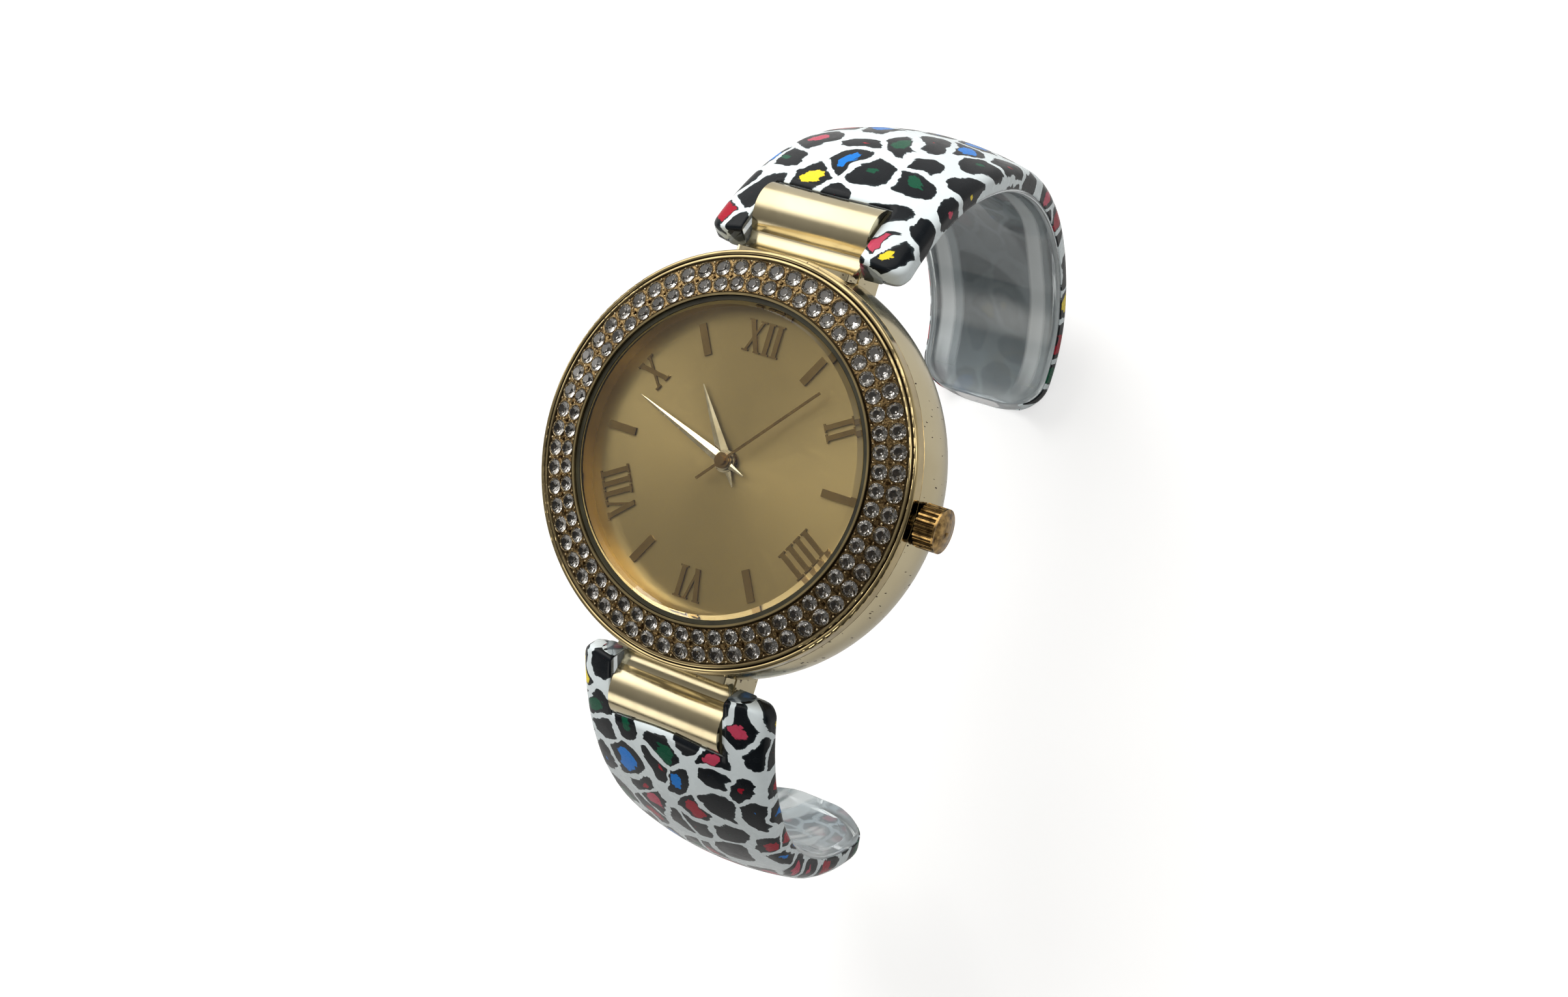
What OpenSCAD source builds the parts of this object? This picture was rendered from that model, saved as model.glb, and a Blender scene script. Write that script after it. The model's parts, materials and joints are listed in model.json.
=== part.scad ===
// Bangle watch: a round quartz watch with a stone-set bezel, carried on two hinged printed arms.
// Sizes are in millimetres and angles in degrees. The outer face of the case back lies at Z = 0,
// the dial faces +Z, 12 o'clock lies towards +Y and the crown points along +X.

/* [Part] */
// Piece to draw

/* [Case] */
// Widest radius of the case side
case_radius = 19.4; // [17:0.1:22]
// Radius of the barrel-shaped curve of the case side
side_curve_radius = 9; // [8:0.5:30]
// Height of the widest place of the side above the case back
widest_level = 4.4; // [3:0.1:6]
// Height of the dial's face above the case back
dial_level = 6.8; // [6.6:0.1:8]
// Height of the bezel seat above the dial's face
seat_above_dial = 0.2; // [0.1:0.05:0.6]
// Radius of the cavity for the movement holder
cavity_radius = 15.6; // [14.9:0.1:16]
// Height of the locating rim under the bezel
rim_height = 0.45; // [0.3:0.05:0.6]
// Width of the locating rim
rim_width = 0.8; // [0.5:0.1:1.2]
// Inner radius of the locating rim
rim_radius = 15.2; // [15:0.1:16]

/* [Case back] */
// Thickness of the case back
back_thickness = 0.9; // [0.6:0.1:1.2]
// Radius of the case back
back_radius = 16.6; // [16.4:0.1:17]
// Radius of the raised middle of the case back
back_face_radius = 11.5; // [10:0.1:11.8]
// Width of the back gasket
back_gasket_width = 0.6; // [0.4:0.1:0.8]
// Thickness of the back gasket
back_gasket_thickness = 0.35; // [0.25:0.05:0.5]
// Inner radius of the back gasket
back_gasket_radius = 15.8; // [15.7:0.1:16]
// Width of the opening notch in the case back
back_notch_width = 2.4; // [1.5:0.1:4]

/* [Bezel] */
// Outer radius of the bezel
bezel_radius = 19.0; // [18:0.1:20]
// Height of the bezel's outer wall
bezel_wall_height = 1.15; // [0.8:0.05:1.6]
// Radius of each of the two polished border beads
border_bead_radius = 0.26; // [0.2:0.02:0.35]
// Outer radius of the stone bed
bed_outer_radius = 18.12; // [17.8:0.02:18.4]
// Inner radius of the stone bed
bed_inner_radius = 14.98; // [14.9:0.02:15.2]
// Height of the bed's outer edge above the bezel seat
bed_outer_height = 1.38; // [1.2:0.02:1.6]
// Height of the bed's inner edge above the bezel seat
bed_inner_height = 2.22; // [1.8:0.02:2.4]
// Height of the polished inner ring above the bezel seat
inner_ring_height = 2.45; // [2.3:0.05:2.8]

/* [Stones] */
// Stones in each of the two rows
stone_count = 60; // [48:1:64]
// Radius of the outer row
outer_row_radius = 17.3; // [17:0.05:17.6]
// Radius of the inner row
inner_row_radius = 15.78; // [15.6:0.02:16]
// Girdle radius of an outer stone
outer_stone_radius = 0.74; // [0.6:0.02:0.8]
// Girdle radius of an inner stone
inner_stone_radius = 0.68; // [0.55:0.02:0.74]
// Height of a stone's crown above its girdle
stone_crown = 0.3; // [0.2:0.02:0.4]
// Depth of a stone below its girdle
stone_depth = 0.46; // [0.3:0.02:0.6]
// Side gap between a stone and its cup
stone_gap = 0.04; // [0.02:0.01:0.08]
// Radius of the bead prongs between the rows
prong_radius = 0.17; // [0.12:0.01:0.24]
// Height of the bead prongs above the bed
prong_height = 0.14; // [0.05:0.01:0.3]

/* [Crystal and rehaut] */
// Radius of the crystal
crystal_radius = 14.25; // [14:0.05:14.5]
// Thickness of the crystal
crystal_thickness = 1.0; // [0.8:0.1:1.4]
// Bevel of the crystal's upper edge
crystal_bevel = 0.4; // [0.2:0.05:0.6]
// Width of the crystal gasket
crystal_gasket_width = 0.4; // [0.3:0.05:0.5]
// Thickness of the rehaut wall
rehaut_wall = 0.62; // [0.4:0.02:0.8]
// Height of the rehaut above the dial
rehaut_height = 1.7; // [1.65:0.05:2.2]
// Gap round seated rings
ring_gap = 0.03; // [0.01:0.01:0.1]

/* [Dial and markers] */
// Radius of the dial
dial_radius = 14.6; // [14.4:0.05:14.65]
// Thickness of the dial
dial_thickness = 0.4; // [0.3:0.05:0.5]
// Radius of the dial's centre hole
dial_hole_radius = 1.05; // [1:0.05:1.4]
// Radius of a dial foot
foot_radius = 0.35; // [0.25:0.05:0.5]
// Length of a dial foot
foot_length = 1.1; // [0.9:0.1:1.3]
// Distance of the dial feet from the centre
foot_distance = 9.0; // [8.6:0.1:9.2]
// Inner radius of the hour marks
mark_inner_radius = 9.95; // [9:0.05:10.5]
// Radial length of the hour marks
mark_length = 2.95; // [2:0.05:3.5]
// Height of the hour marks above the dial
mark_height = 0.2; // [0.1:0.02:0.3]
// Width of a baton
baton_width = 0.72; // [0.5:0.02:1]
// Width of a thick stroke of a numeral
thick_stroke = 0.46; // [0.3:0.02:0.6]
// Width of a thin stroke of a numeral
thin_stroke = 0.24; // [0.15:0.02:0.4]
// Pitch of the upright strokes of a numeral
stroke_pitch = 0.95; // [0.85:0.05:1.1]
// Width of the letters with slanting strokes
slant_width = 1.9; // [1.6:0.05:2.2]

/* [Hands] */
// Hour that the hour hand shows
hour_shown = 10.8; // [0:0.01:12]
// Minute that the minute hand shows
minute_shown = 48.1; // [0:0.1:60]
// Second that the second hand shows
second_shown = 7; // [0:1:60]
// Length of the hour hand
hour_length = 7.45; // [6:0.05:8.5]
// Length of the minute hand
minute_length = 10.8; // [9:0.05:12]
// Length of the second hand
second_length = 11.1; // [9:0.05:12.5]
// Length of the tail of the hour and minute hands
hand_tail = 2.5; // [1.5:0.1:3]
// Length of the tail of the second hand
second_tail = 3.0; // [2:0.1:4]
// Half width of the hour hand at its shoulder
hour_half_width = 0.62; // [0.4:0.02:0.9]
// Half width of the minute hand at its shoulder
minute_half_width = 0.5; // [0.3:0.02:0.8]
// Half width of the second hand
second_half_width = 0.12; // [0.08:0.01:0.2]
// Height of a hand blade
blade_height = 0.2; // [0.12:0.02:0.26]
// Radius of the second hand's hub
second_hub_radius = 0.72; // [0.5:0.02:1]

/* [Movement] */
// Radius of the main plate
plate_radius = 10.0; // [9.8:0.1:10.4]
// Thickness of the main plate
plate_thickness = 0.8; // [0.7:0.05:1]
// Depth of the room for the motion work under the dial
motion_room = 0.8; // [0.75:0.05:1]
// Height of the room for the train under the main plate
train_room = 1.6; // [1.55:0.05:2]
// Thickness of the train bridge
bridge_thickness = 0.6; // [0.5:0.05:0.7]
// Thickness of a gear wheel
wheel_thickness = 0.15; // [0.1:0.01:0.2]
// Radius of a pivot
pivot_radius = 0.12; // [0.1:0.01:0.15]
// Running clearance of pivots, tubes and studs
running_gap = 0.03; // [0.02:0.01:0.05]
// Radius of the seconds arbor
seconds_arbor_radius = 0.2; // [0.15:0.01:0.22]
// Wall of the centre wheel's tube
centre_tube_wall = 0.17; // [0.12:0.01:0.2]
// Wall of the cannon pinion and of the hour wheel's pipe
pipe_wall = 0.17; // [0.12:0.01:0.2]
// Distance of the third wheel from the centre
third_distance = 3.0; // [2.9:0.05:3.2]
// Distance of the fifth wheel from the centre
fifth_distance = 3.0; // [2.95:0.05:3.1]
// Distance of the rotor from the fifth wheel
rotor_distance = 2.3; // [2.2:0.05:2.4]
// Distance of the minute wheel from the centre
minute_wheel_distance = 2.6; // [2.5:0.05:2.7]
// Radius of the rotor magnet
magnet_radius = 0.62; // [0.5:0.02:0.7]
// Radius of the battery
battery_radius = 3.4; // [3.2:0.05:3.45]
// Height of the battery
battery_height = 2.6; // [2.1:0.05:2.65]
// Radius of the coil
coil_radius = 1.0; // [0.8:0.05:1.05]
// Length of the coil
coil_length = 7.2; // [6:0.1:8]
// Radius of the quartz can
quartz_radius = 0.75; // [0.6:0.05:0.8]
// Length of the quartz can
quartz_length = 4.6; // [4:0.1:5]
// Thickness of the circuit board
board_thickness = 0.3; // [0.2:0.05:0.4]
// Radius of the support pillars
pillar_radius = 0.75; // [0.65:0.05:0.8]
// Radius of a movement screw's shank
screw_radius = 0.35; // [0.3:0.02:0.4]
// Radius of a movement screw's head
screw_head_radius = 0.7; // [0.6:0.05:0.9]
// Outer radius of the movement holder
holder_radius = 15.5; // [14.8:0.05:15.55]
// Height of the movement holder
holder_height = 5.0; // [4:0.1:5]

/* [Crown and stem] */
// Depth of the stem's axis below the dial's face
stem_drop = 0.9; // [0.88:0.01:0.95]
// Radius of the crown
crown_radius = 2.0; // [1.8:0.05:2.4]
// Length of the fluted part of the crown
crown_length = 2.0; // [1.9:0.05:2.4]
// Height of the crown's domed cap
crown_dome = 0.3; // [0.2:0.05:0.6]
// Distance of the crown from the wider of the case and the bezel
crown_gap = 0.05; // [0.02:0.01:0.4]
// Flutes round the crown
flute_count = 26; // [18:1:30]
// Radius of a flute
flute_radius = 0.16; // [0.12:0.01:0.2]
// How far the crown pulls out
crown_pull = 0.7; // [0.5:0.05:0.75]
// Outer radius of the crown tube
tube_radius = 0.85; // [0.8:0.01:0.9]
// How far the crown tube reaches into the crown
tube_reach = 1.3; // [1.2:0.05:1.3]
// Radius of the stem
stem_radius = 0.4; // [0.35:0.01:0.42]
// Radius of the neck that the setting lever grips
stem_neck_radius = 0.2; // [0.16:0.01:0.22]
// Distance of the stem's neck from the centre
stem_neck_place = 7.8; // [7.7:0.1:7.9]
// Groove radius for the crown gasket
crown_groove_radius = 1.28; // [1.2:0.01:1.35]
// Length of the setting lever
lever_arm = 3.25; // [3:0.05:3.4]
// Thickness of the setting lever
lever_thickness = 0.24; // [0.16:0.02:0.3]

/* [Hinges] */
// Distance of the hinge axes from the centre
hinge_distance = 22.8; // [22.6:0.1:24]
// Depth of the hinge axes below the dial's face
hinge_drop = 4.3; // [4:0.1:4.6]
// Radius of the hinge barrels
barrel_radius = 2.85; // [2.6:0.05:3]
// Length of the hinge barrels
barrel_length = 12.0; // [11:0.1:13]
// Height of the neck between the case and a barrel
neck_height = 4.0; // [3:0.1:4.4]
// Radius of the hinge pins
pin_radius = 0.6; // [0.5:0.02:0.7]
// Running clearance of a hinge pin
pin_gap = 0.04; // [0.02:0.01:0.08]
// Seating clearance of a hinge pin in its ears
pin_seat_gap = 0.02; // [0.01:0.01:0.04]
// Radius of the spring chamber in a barrel
chamber_radius = 1.75; // [1.6:0.05:2]
// Thickness of the wall and of the bush that close the chamber
chamber_wall = 1.4; // [1:0.1:2]
// Wire radius of the hinge springs
spring_wire_radius = 0.16; // [0.12:0.01:0.2]
// Mean radius of the hinge springs
spring_radius = 1.2; // [1.1:0.05:1.3]
// Turns of the hinge springs
spring_turns = 9; // [6:1:10]

/* [Arms] */
// Half width of the arms at the hinge
arm_root_half = 10.25; // [9.5:0.05:11]
// Half width of the arms a third of the way along
arm_third_half = 9.85; // [9:0.05:10.2]
// Half width of the arms at their tips
arm_tip_half = 7.2; // [6.5:0.05:7.6]
// Thickness of the arms along their middle
arm_thickness = 3.8; // [3.2:0.1:4.2]
// Radius across the width of the crowned outer face
arm_crown_radius = 31; // [25:1:60]
// Thickness of the printed film
film_thickness = 0.12; // [0.08:0.01:0.2]
// Bond line between a film and its arm
film_gap = 0.02; // [0.01:0.01:0.04]
// Gap between a barrel and its arm
notch_gap = 0.2; // [0.15:0.05:0.4]
// Corner radius of the upper arm's tip
upper_tip_radius = 3.2; // [2:0.1:5]
// Corner radius of the lower arm's tip
lower_tip_radius = 5.0; // [3:0.1:6.5]
// Distance of an arm's end edge from the centre
arm_start = 20.75; // [20.6:0.05:21.5]
// Corner radius of the ears at the hinge
ear_corner_radius = 1.6; // [0.5:0.1:2.4]
// Slope of the upper arm where it leaves the hinge
upper_slope = 29.1; // [26:0.1:33]
// Radius of the upper arm's long curve
upper_long_radius = 30.1; // [28:0.1:34]
// Turn of the upper arm's long curve
upper_long_turn = 110.7; // [100:0.1:116]
// Radius of the upper arm's end curve
upper_end_radius = 15.8; // [13:0.1:20]
// Turn of the upper arm's end curve
upper_end_turn = 51.5; // [30:0.1:60]
// Slope of the lower arm where it leaves the hinge
lower_slope = 24.4; // [20:0.1:30]
// Radius of the lower arm's curve
lower_radius = 32.0; // [30:0.1:36]
// Turn of the lower arm's curve
lower_turn = 91.1; // [80:0.1:100]

/* [Hidden] */
$fn = 96;

// Colours of the pieces
gold = [0.80, 0.70, 0.46];
steel = [0.74, 0.75, 0.77];
brass = [0.78, 0.62, 0.28];
clear = [0.72, 0.76, 0.78];
print_white = [0.90, 0.94, 0.95];
dark = [0.10, 0.10, 0.12];

// A hair's breadth by which cutting shapes pass the faces that they cut
cut = 0.5;

// Levels of the case stack
seat_level = dial_level + seat_above_dial;
dial_under = dial_level - dial_thickness;
plate_top = dial_under - motion_room;
plate_under = plate_top - plate_thickness;
bridge_top = plate_under - train_room;
bridge_under = bridge_top - bridge_thickness;
battery_top = plate_under - 0.1;
battery_under = battery_top - battery_height;
crystal_under = dial_level + rehaut_height + ring_gap;
crystal_top = crystal_under + crystal_thickness;
stem_level = dial_level - stem_drop;
bezel_bore = crystal_radius + ring_gap + crystal_gasket_width + ring_gap;
case_bore = dial_radius + 0.15;
gasket_level = back_thickness + 0.03;
cavity_under = gasket_level + back_gasket_thickness + 0.02;
cavity_top = dial_under + 0.05;

// Hinges
hinge_level = dial_level - hinge_drop;
barrel_half = barrel_length / 2;
notch_half = barrel_half + notch_gap;
notch_radius = barrel_radius + notch_gap;

// Bezel bed
bed_slope = atan2(bed_inner_height - bed_outer_height, bed_outer_radius - bed_inner_radius);
function bed_level(r) = seat_level + bed_outer_height
    + (bed_outer_radius - r) * tan(bed_slope);

// Levels of the hands
hour_blade = dial_level + mark_height + 0.2;
minute_blade = hour_blade + blade_height + 0.1;
second_blade = minute_blade + blade_height + 0.1;

// Radii of the nested tubes at the centre
centre_tube_bore = seconds_arbor_radius + running_gap;
centre_tube_radius = centre_tube_bore + centre_tube_wall;
cannon_bore = centre_tube_radius + 0.02;
cannon_radius = cannon_bore + pipe_wall;
hour_pipe_bore = cannon_radius + running_gap;
hour_pipe_radius = hour_pipe_bore + pipe_wall;
plate_hole = centre_tube_radius + running_gap;

// Tooth counts, wheel first and pinion second
fifth_teeth = 48;
rotor_leaves = 8;
fourth_teeth = 40;
fifth_leaves = 8;
third_teeth = 60;
fourth_leaves = 8;
centre_teeth = 64;
third_leaves = 8;
minute_teeth = 36;
cannon_leaves = 12;
hour_teeth = 40;
minute_leaves = 10;

// Directions of the arbors from the centre
third_angle = -45.7;
fifth_angle = 90;
minute_wheel_angle = 135;
third_place = [third_distance * cos(third_angle), third_distance * sin(third_angle)];
fifth_place = [fifth_distance * cos(fifth_angle), fifth_distance * sin(fifth_angle)];
rotor_place = fifth_place + [0, rotor_distance];
minute_place = [minute_wheel_distance * cos(minute_wheel_angle),
    minute_wheel_distance * sin(minute_wheel_angle)];

// Levels of the wheels under the main plate
centre_wheel_level = plate_under - 0.35;
third_wheel_level = plate_under - 0.95;
fourth_wheel_level = plate_under - 1.35;
fifth_wheel_level = plate_under - 0.9;
stator_under = plate_under - 0.6;
stator_thickness = 0.4;

// Places of the movement's fixed pieces
battery_place = [-5.4, -3.5];
coil_place = [0, 7.4];
quartz_place = [3.6, -7.0];
bridge_posts = [[-4.6, 1.6], [4.8, 1.9]];
board_post = [7.0, -5.6];
strap_post = [-8.5, 1.0];
board_top = bridge_under - 0.1;
lever_tip_half = 0.14;
lever_tip_y = -stem_neck_radius - 0.06;
lever_place = [stem_neck_place + crown_pull / 2,
    lever_tip_y - sqrt(lever_arm * lever_arm - crown_pull * crown_pull / 4)];
lever_under = stem_level - lever_thickness / 2;
pinion_length = 1.1;
pinion_start = stem_neck_place - 0.9 - pinion_length;
pinion_tip_radius = 0.46;
stem_inner = pinion_start - 0.4;

// Crown, which clears the wider of the case and the bezel
crown_start = max(case_radius, bezel_radius) + crown_gap;
crown_bore = tube_radius + 0.1;
tube_end = crown_start + tube_reach;
tube_bore = stem_radius + 0.05;
stem_end = tube_end + 0.55;
holder_bore = plate_radius + 0.05;

// Helpers
// A ring from inner radius a to outer radius b between two levels
module ring(a, b, z0, z1) {
    translate([0, 0, z0]) difference() {
        cylinder(r = b, h = z1 - z0);
        translate([0, 0, -cut]) cylinder(r = a, h = z1 - z0 + 2 * cut);
    }
}

// A disc or shaft between two levels at a place
module shaft(p, r, z0, z1) {
    translate([p[0], p[1], z0]) cylinder(r = r, h = z1 - z0);
}

// A cylinder along +X between x0 and x1
module bar_x(y, z, r, x0, x1) {
    translate([x0, y, z]) rotate([0, 90, 0]) cylinder(r = r, h = x1 - x0);
}

// Outline of a gear with n teeth and module m, one tooth pointing along direction d
function gear_points(n, m, d) = [for (i = [0 : n - 1]) for (k = [0 : 3])
    let (p = 360 / n, r = (k == 0 || k == 3) ? m * (n / 2 - 1.15) : m * (n / 2 + 0.8),
        a = d + p * (i + [-0.28, -0.12, 0.12, 0.28][k])) [r * cos(a), r * sin(a)]];

module gear(n, m, d, z, h) {
    translate([0, 0, z]) linear_extrude(height = h) polygon(gear_points(n, m, d));
}

// Module of a wheel and pinion at a centre distance
function mesh_module(distance, wheel, pinion) = 2 * distance / (wheel + pinion);

// Four lightening holes of a wheel
module wheel_windows(r, z) {
    for (i = [0 : 3]) rotate([0, 0, 45 + 90 * i]) translate([r, 0, z - cut])
        cylinder(r = r * 0.42, h = wheel_thickness + 2 * cut);
}

// Case
module case_body() {
    rotate_extrude() intersection() {
        square([case_radius, seat_level]);
        union() {
            translate([case_radius - side_curve_radius, widest_level])
                circle(r = side_curve_radius);
            square([case_radius - side_curve_radius, seat_level]);
        }
    }
}

module hinge_lug(side) {
    y = side * hinge_distance;
    translate([-barrel_half, y, hinge_level]) rotate([0, 90, 0])
        cylinder(r = barrel_radius, h = barrel_length);
    y0 = side > 0 ? cavity_radius + 1 : -hinge_distance;
    translate([-barrel_half, y0, hinge_level - neck_height / 2])
        cube([barrel_length, hinge_distance - cavity_radius - 1, neck_height]);
}

module case_middle() {
    color(gold) difference() {
        union() {
            case_body();
            hinge_lug(1);
            hinge_lug(-1);
            ring(rim_radius, rim_radius + rim_width, seat_level - 1, seat_level + rim_height);
        }
        translate([0, 0, cavity_under]) cylinder(r = cavity_radius, h = cavity_top - cavity_under);
        translate([0, 0, cavity_top - cut]) cylinder(r = case_bore, h = 3);
        translate([0, 0, -cut]) cylinder(r = back_radius + 0.05, h = back_thickness + cut);
        translate([0, 0, back_thickness - cut])
            cylinder(r = back_gasket_radius + back_gasket_width + 0.03,
                h = cavity_under - back_thickness + cut);
        bar_x(0, stem_level, tube_radius + 0.02, cavity_radius - 1, case_radius + 2);
        for (s = [-1, 1]) {
            bar_x(s * hinge_distance, hinge_level, chamber_radius,
                -barrel_half - cut, barrel_half - chamber_wall);
            bar_x(s * hinge_distance, hinge_level, pin_radius + pin_gap, 0, barrel_half + cut);
        }
    }
}

module case_back() {
    color(steel) difference() {
        rotate_extrude() polygon([[0, 0], [back_face_radius, 0],
            [back_face_radius + 0.25, 0.25], [back_radius - 0.2, 0.35], [back_radius, 0.55],
            [back_radius, back_thickness], [0, back_thickness]]);
        rotate([0, 0, 215]) translate([back_radius - 0.6, -back_notch_width / 2, -cut])
            cube([2, back_notch_width, cut + 0.7]);
    }
}

module back_gasket() {
    color(dark) ring(back_gasket_radius, back_gasket_radius + back_gasket_width,
        gasket_level, gasket_level + back_gasket_thickness);
}

// Bezel
module bezel_section() {
    bead_r = bezel_radius - border_bead_radius;
    difference() {
        union() {
            polygon([[bezel_bore, seat_level], [bezel_radius, seat_level],
                [bezel_radius, seat_level + bezel_wall_height],
                [bed_outer_radius, seat_level + bezel_wall_height],
                [bed_outer_radius, seat_level + bed_outer_height],
                [bed_inner_radius, seat_level + bed_inner_height],
                [bed_inner_radius, seat_level + inner_ring_height],
                [bezel_bore, seat_level + inner_ring_height]]);
            translate([bead_r, seat_level + bezel_wall_height]) circle(r = border_bead_radius);
            translate([bead_r - 2 * border_bead_radius + 0.06,
                seat_level + bezel_wall_height + 0.08]) circle(r = border_bead_radius);
        }
        translate([rim_radius - ring_gap, seat_level - cut])
            square([rim_width + 2 * ring_gap, rim_height + ring_gap + cut]);
    }
}

// Each item of one row stands square to the bed at radius r
module on_bed(r, shift) {
    for (i = [0 : stone_count - 1]) rotate([0, 0, (i + shift) * 360 / stone_count])
        translate([r, 0, bed_level(r)]) rotate([0, bed_slope, 0]) children();
}

module cup(r) {
    translate([0, 0, -stone_depth - 0.06]) cylinder(r = r + stone_gap, h = stone_depth + 1);
}

module bezel() {
    color(gold) difference() {
        union() {
            rotate_extrude() bezel_section();
            on_bed((outer_row_radius + inner_row_radius) / 2, 0.5)
                translate([0, 0, -0.3]) cylinder(r = prong_radius, h = 0.3 + prong_height);
        }
        on_bed(outer_row_radius, 0) cup(outer_stone_radius);
        on_bed(inner_row_radius, 0) cup(inner_stone_radius);
    }
}

// A round stone with an eight-sided cut: a crown, a girdle and a pointed back
module stone(r) {
    translate([0, 0, -stone_depth]) cylinder(r1 = 0.05, r2 = r, h = stone_depth, $fn = 8);
    cylinder(r1 = r, r2 = r * 0.55, h = stone_crown, $fn = 8);
}

module outer_stones() {
    color([0.86, 0.88, 0.92]) on_bed(outer_row_radius, 0) stone(outer_stone_radius);
}

module inner_stones() {
    color([0.86, 0.88, 0.92]) on_bed(inner_row_radius, 0) stone(inner_stone_radius);
}

// Crystal and dial
module crystal() {
    color([0.82, 0.90, 0.90]) rotate_extrude() polygon([[0, crystal_under],
        [crystal_radius, crystal_under], [crystal_radius, crystal_top - crystal_bevel],
        [crystal_radius - crystal_bevel, crystal_top], [0, crystal_top]]);
}

module crystal_gasket() {
    color([0.9, 0.9, 0.88]) ring(crystal_radius + ring_gap, bezel_bore - ring_gap,
        crystal_under, crystal_top - crystal_bevel);
}

module rehaut_ring() {
    color(gold) ring(bezel_bore - ring_gap - rehaut_wall, bezel_bore - ring_gap,
        dial_level, dial_level + rehaut_height);
}

foot_places = [for (a = [100, 280]) [foot_distance * cos(a), foot_distance * sin(a)]];

module dial() {
    color([0.72, 0.62, 0.40]) {
        ring(dial_hole_radius, dial_radius, dial_under, dial_level);
        for (p = foot_places) shaft(p, foot_radius, dial_under - foot_length, dial_under);
    }
}

// Strokes of the numerals, with the base at y = 0 and the top at y = mark_length
module slant(x0, x1, w) {
    polygon([[x0 - w / 2, 0], [x0 + w / 2, 0], [x1 + w / 2, mark_length],
        [x1 - w / 2, mark_length]]);
}

module serif(x, w, y) {
    translate([x - w / 2, y]) square([w, 0.16]);
}

module upright(x) {
    translate([x - thick_stroke / 2, 0]) square([thick_stroke, mark_length]);
    serif(x, stroke_pitch * 0.84, 0);
    serif(x, stroke_pitch * 0.84, mark_length - 0.16);
}

module letter_v(x) {
    q = slant_width / 2 - 0.35;
    slant(x + 0.05, x - q, thick_stroke);
    slant(x - 0.05, x + q, thin_stroke);
    serif(x - q, 0.7, mark_length - 0.16);
    serif(x + q, 0.6, mark_length - 0.16);
}

module letter_x(x) {
    q = slant_width / 2 - 0.35;
    slant(x + q, x - q, thick_stroke);
    slant(x - q, x + q, thin_stroke);
    for (y = [0, mark_length - 0.16]) {
        serif(x - q, 0.65, y);
        serif(x + q, 0.65, y);
    }
}

function letter_width(c) = c == "I" ? stroke_pitch : slant_width;
function word_width(w, n) = n == 0 ? 0 : letter_width(w[n - 1]) + word_width(w, n - 1);

module numeral(w) {
    total = word_width(w, len(w));
    for (i = [0 : len(w) - 1]) {
        x = word_width(w, i) + letter_width(w[i]) / 2 - total / 2;
        if (w[i] == "I") upright(x);
        if (w[i] == "V") letter_v(x);
        if (w[i] == "X") letter_x(x);
    }
}

numerals = ["XII", "II", "IIII", "VI", "VIII", "X"];

module hour_markers() {
    color([0.66, 0.55, 0.30]) translate([0, 0, dial_level]) linear_extrude(height = mark_height)
        for (h = [0 : 11]) rotate([0, 0, -30 * h]) translate([0, mark_inner_radius])
            if (h % 2 == 0) numeral(numerals[h / 2]);
            else translate([-baton_width / 2, 0]) square([baton_width, mark_length]);
}

// Hands
// A blade with a ridge along its middle, its tip along +Y
module blade(len, tail, half, shoulder) {
    e = blade_height * 0.35;
    tip = 0.05;
    polyhedron(points = [[-tip, len, 0], [-half, shoulder, 0], [-tip, -tail, 0],
            [tip, -tail, 0], [half, shoulder, 0], [tip, len, 0],
            [-tip, len, e], [-half, shoulder, e], [-tip, -tail, e],
            [tip, -tail, e], [half, shoulder, e], [tip, len, e],
            [0, shoulder, blade_height]],
        faces = [[0, 1, 2, 3, 4, 5], [6, 7, 1, 0], [7, 8, 2, 1], [8, 9, 3, 2], [9, 10, 4, 3],
            [10, 11, 5, 4], [11, 6, 0, 5], [12, 7, 6], [12, 8, 7], [12, 9, 8], [12, 10, 9],
            [12, 11, 10], [12, 6, 11]]);
}

module hour_hand() {
    color(gold) translate([0, 0, hour_blade]) rotate([0, 0, -30 * hour_shown]) difference() {
        union() {
            blade(hour_length, hand_tail, hour_half_width, 0.9);
            cylinder(r = hour_pipe_radius + 0.25, h = blade_height);
        }
        translate([0, 0, -cut]) cylinder(r = hour_pipe_radius + 0.01, h = 2);
    }
}

module minute_hand() {
    color(gold) translate([0, 0, minute_blade]) rotate([0, 0, -6 * minute_shown]) difference() {
        union() {
            blade(minute_length, hand_tail, minute_half_width, 1.0);
            cylinder(r = cannon_radius + 0.25, h = blade_height);
        }
        translate([0, 0, -cut]) cylinder(r = centre_tube_radius + 0.01, h = 2);
    }
}

module second_hand() {
    color(gold) translate([0, 0, second_blade]) rotate([0, 0, -6 * second_shown]) difference() {
        union() {
            translate([-second_half_width, -second_tail, 0])
                cube([2 * second_half_width, second_tail + second_length, 0.12]);
            cylinder(r = second_hub_radius, h = 0.16);
            cylinder(r = second_hub_radius * 0.6, h = 0.4);
        }
        translate([0, 0, -cut]) cylinder(r = seconds_arbor_radius + 0.01, h = cut + 0.3);
    }
}

// Movement
module movement_holder() {
    color([0.85, 0.85, 0.82]) difference() {
        ring(holder_bore, holder_radius, dial_under - holder_height, dial_under);
        bar_x(0, stem_level, stem_radius + 0.25, plate_radius - 1, holder_radius + 1);
        translate([plate_radius - 1, -stem_radius - 0.25, stem_level])
            cube([holder_radius, 2 * stem_radius + 0.5, 2]);
    }
}

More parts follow.
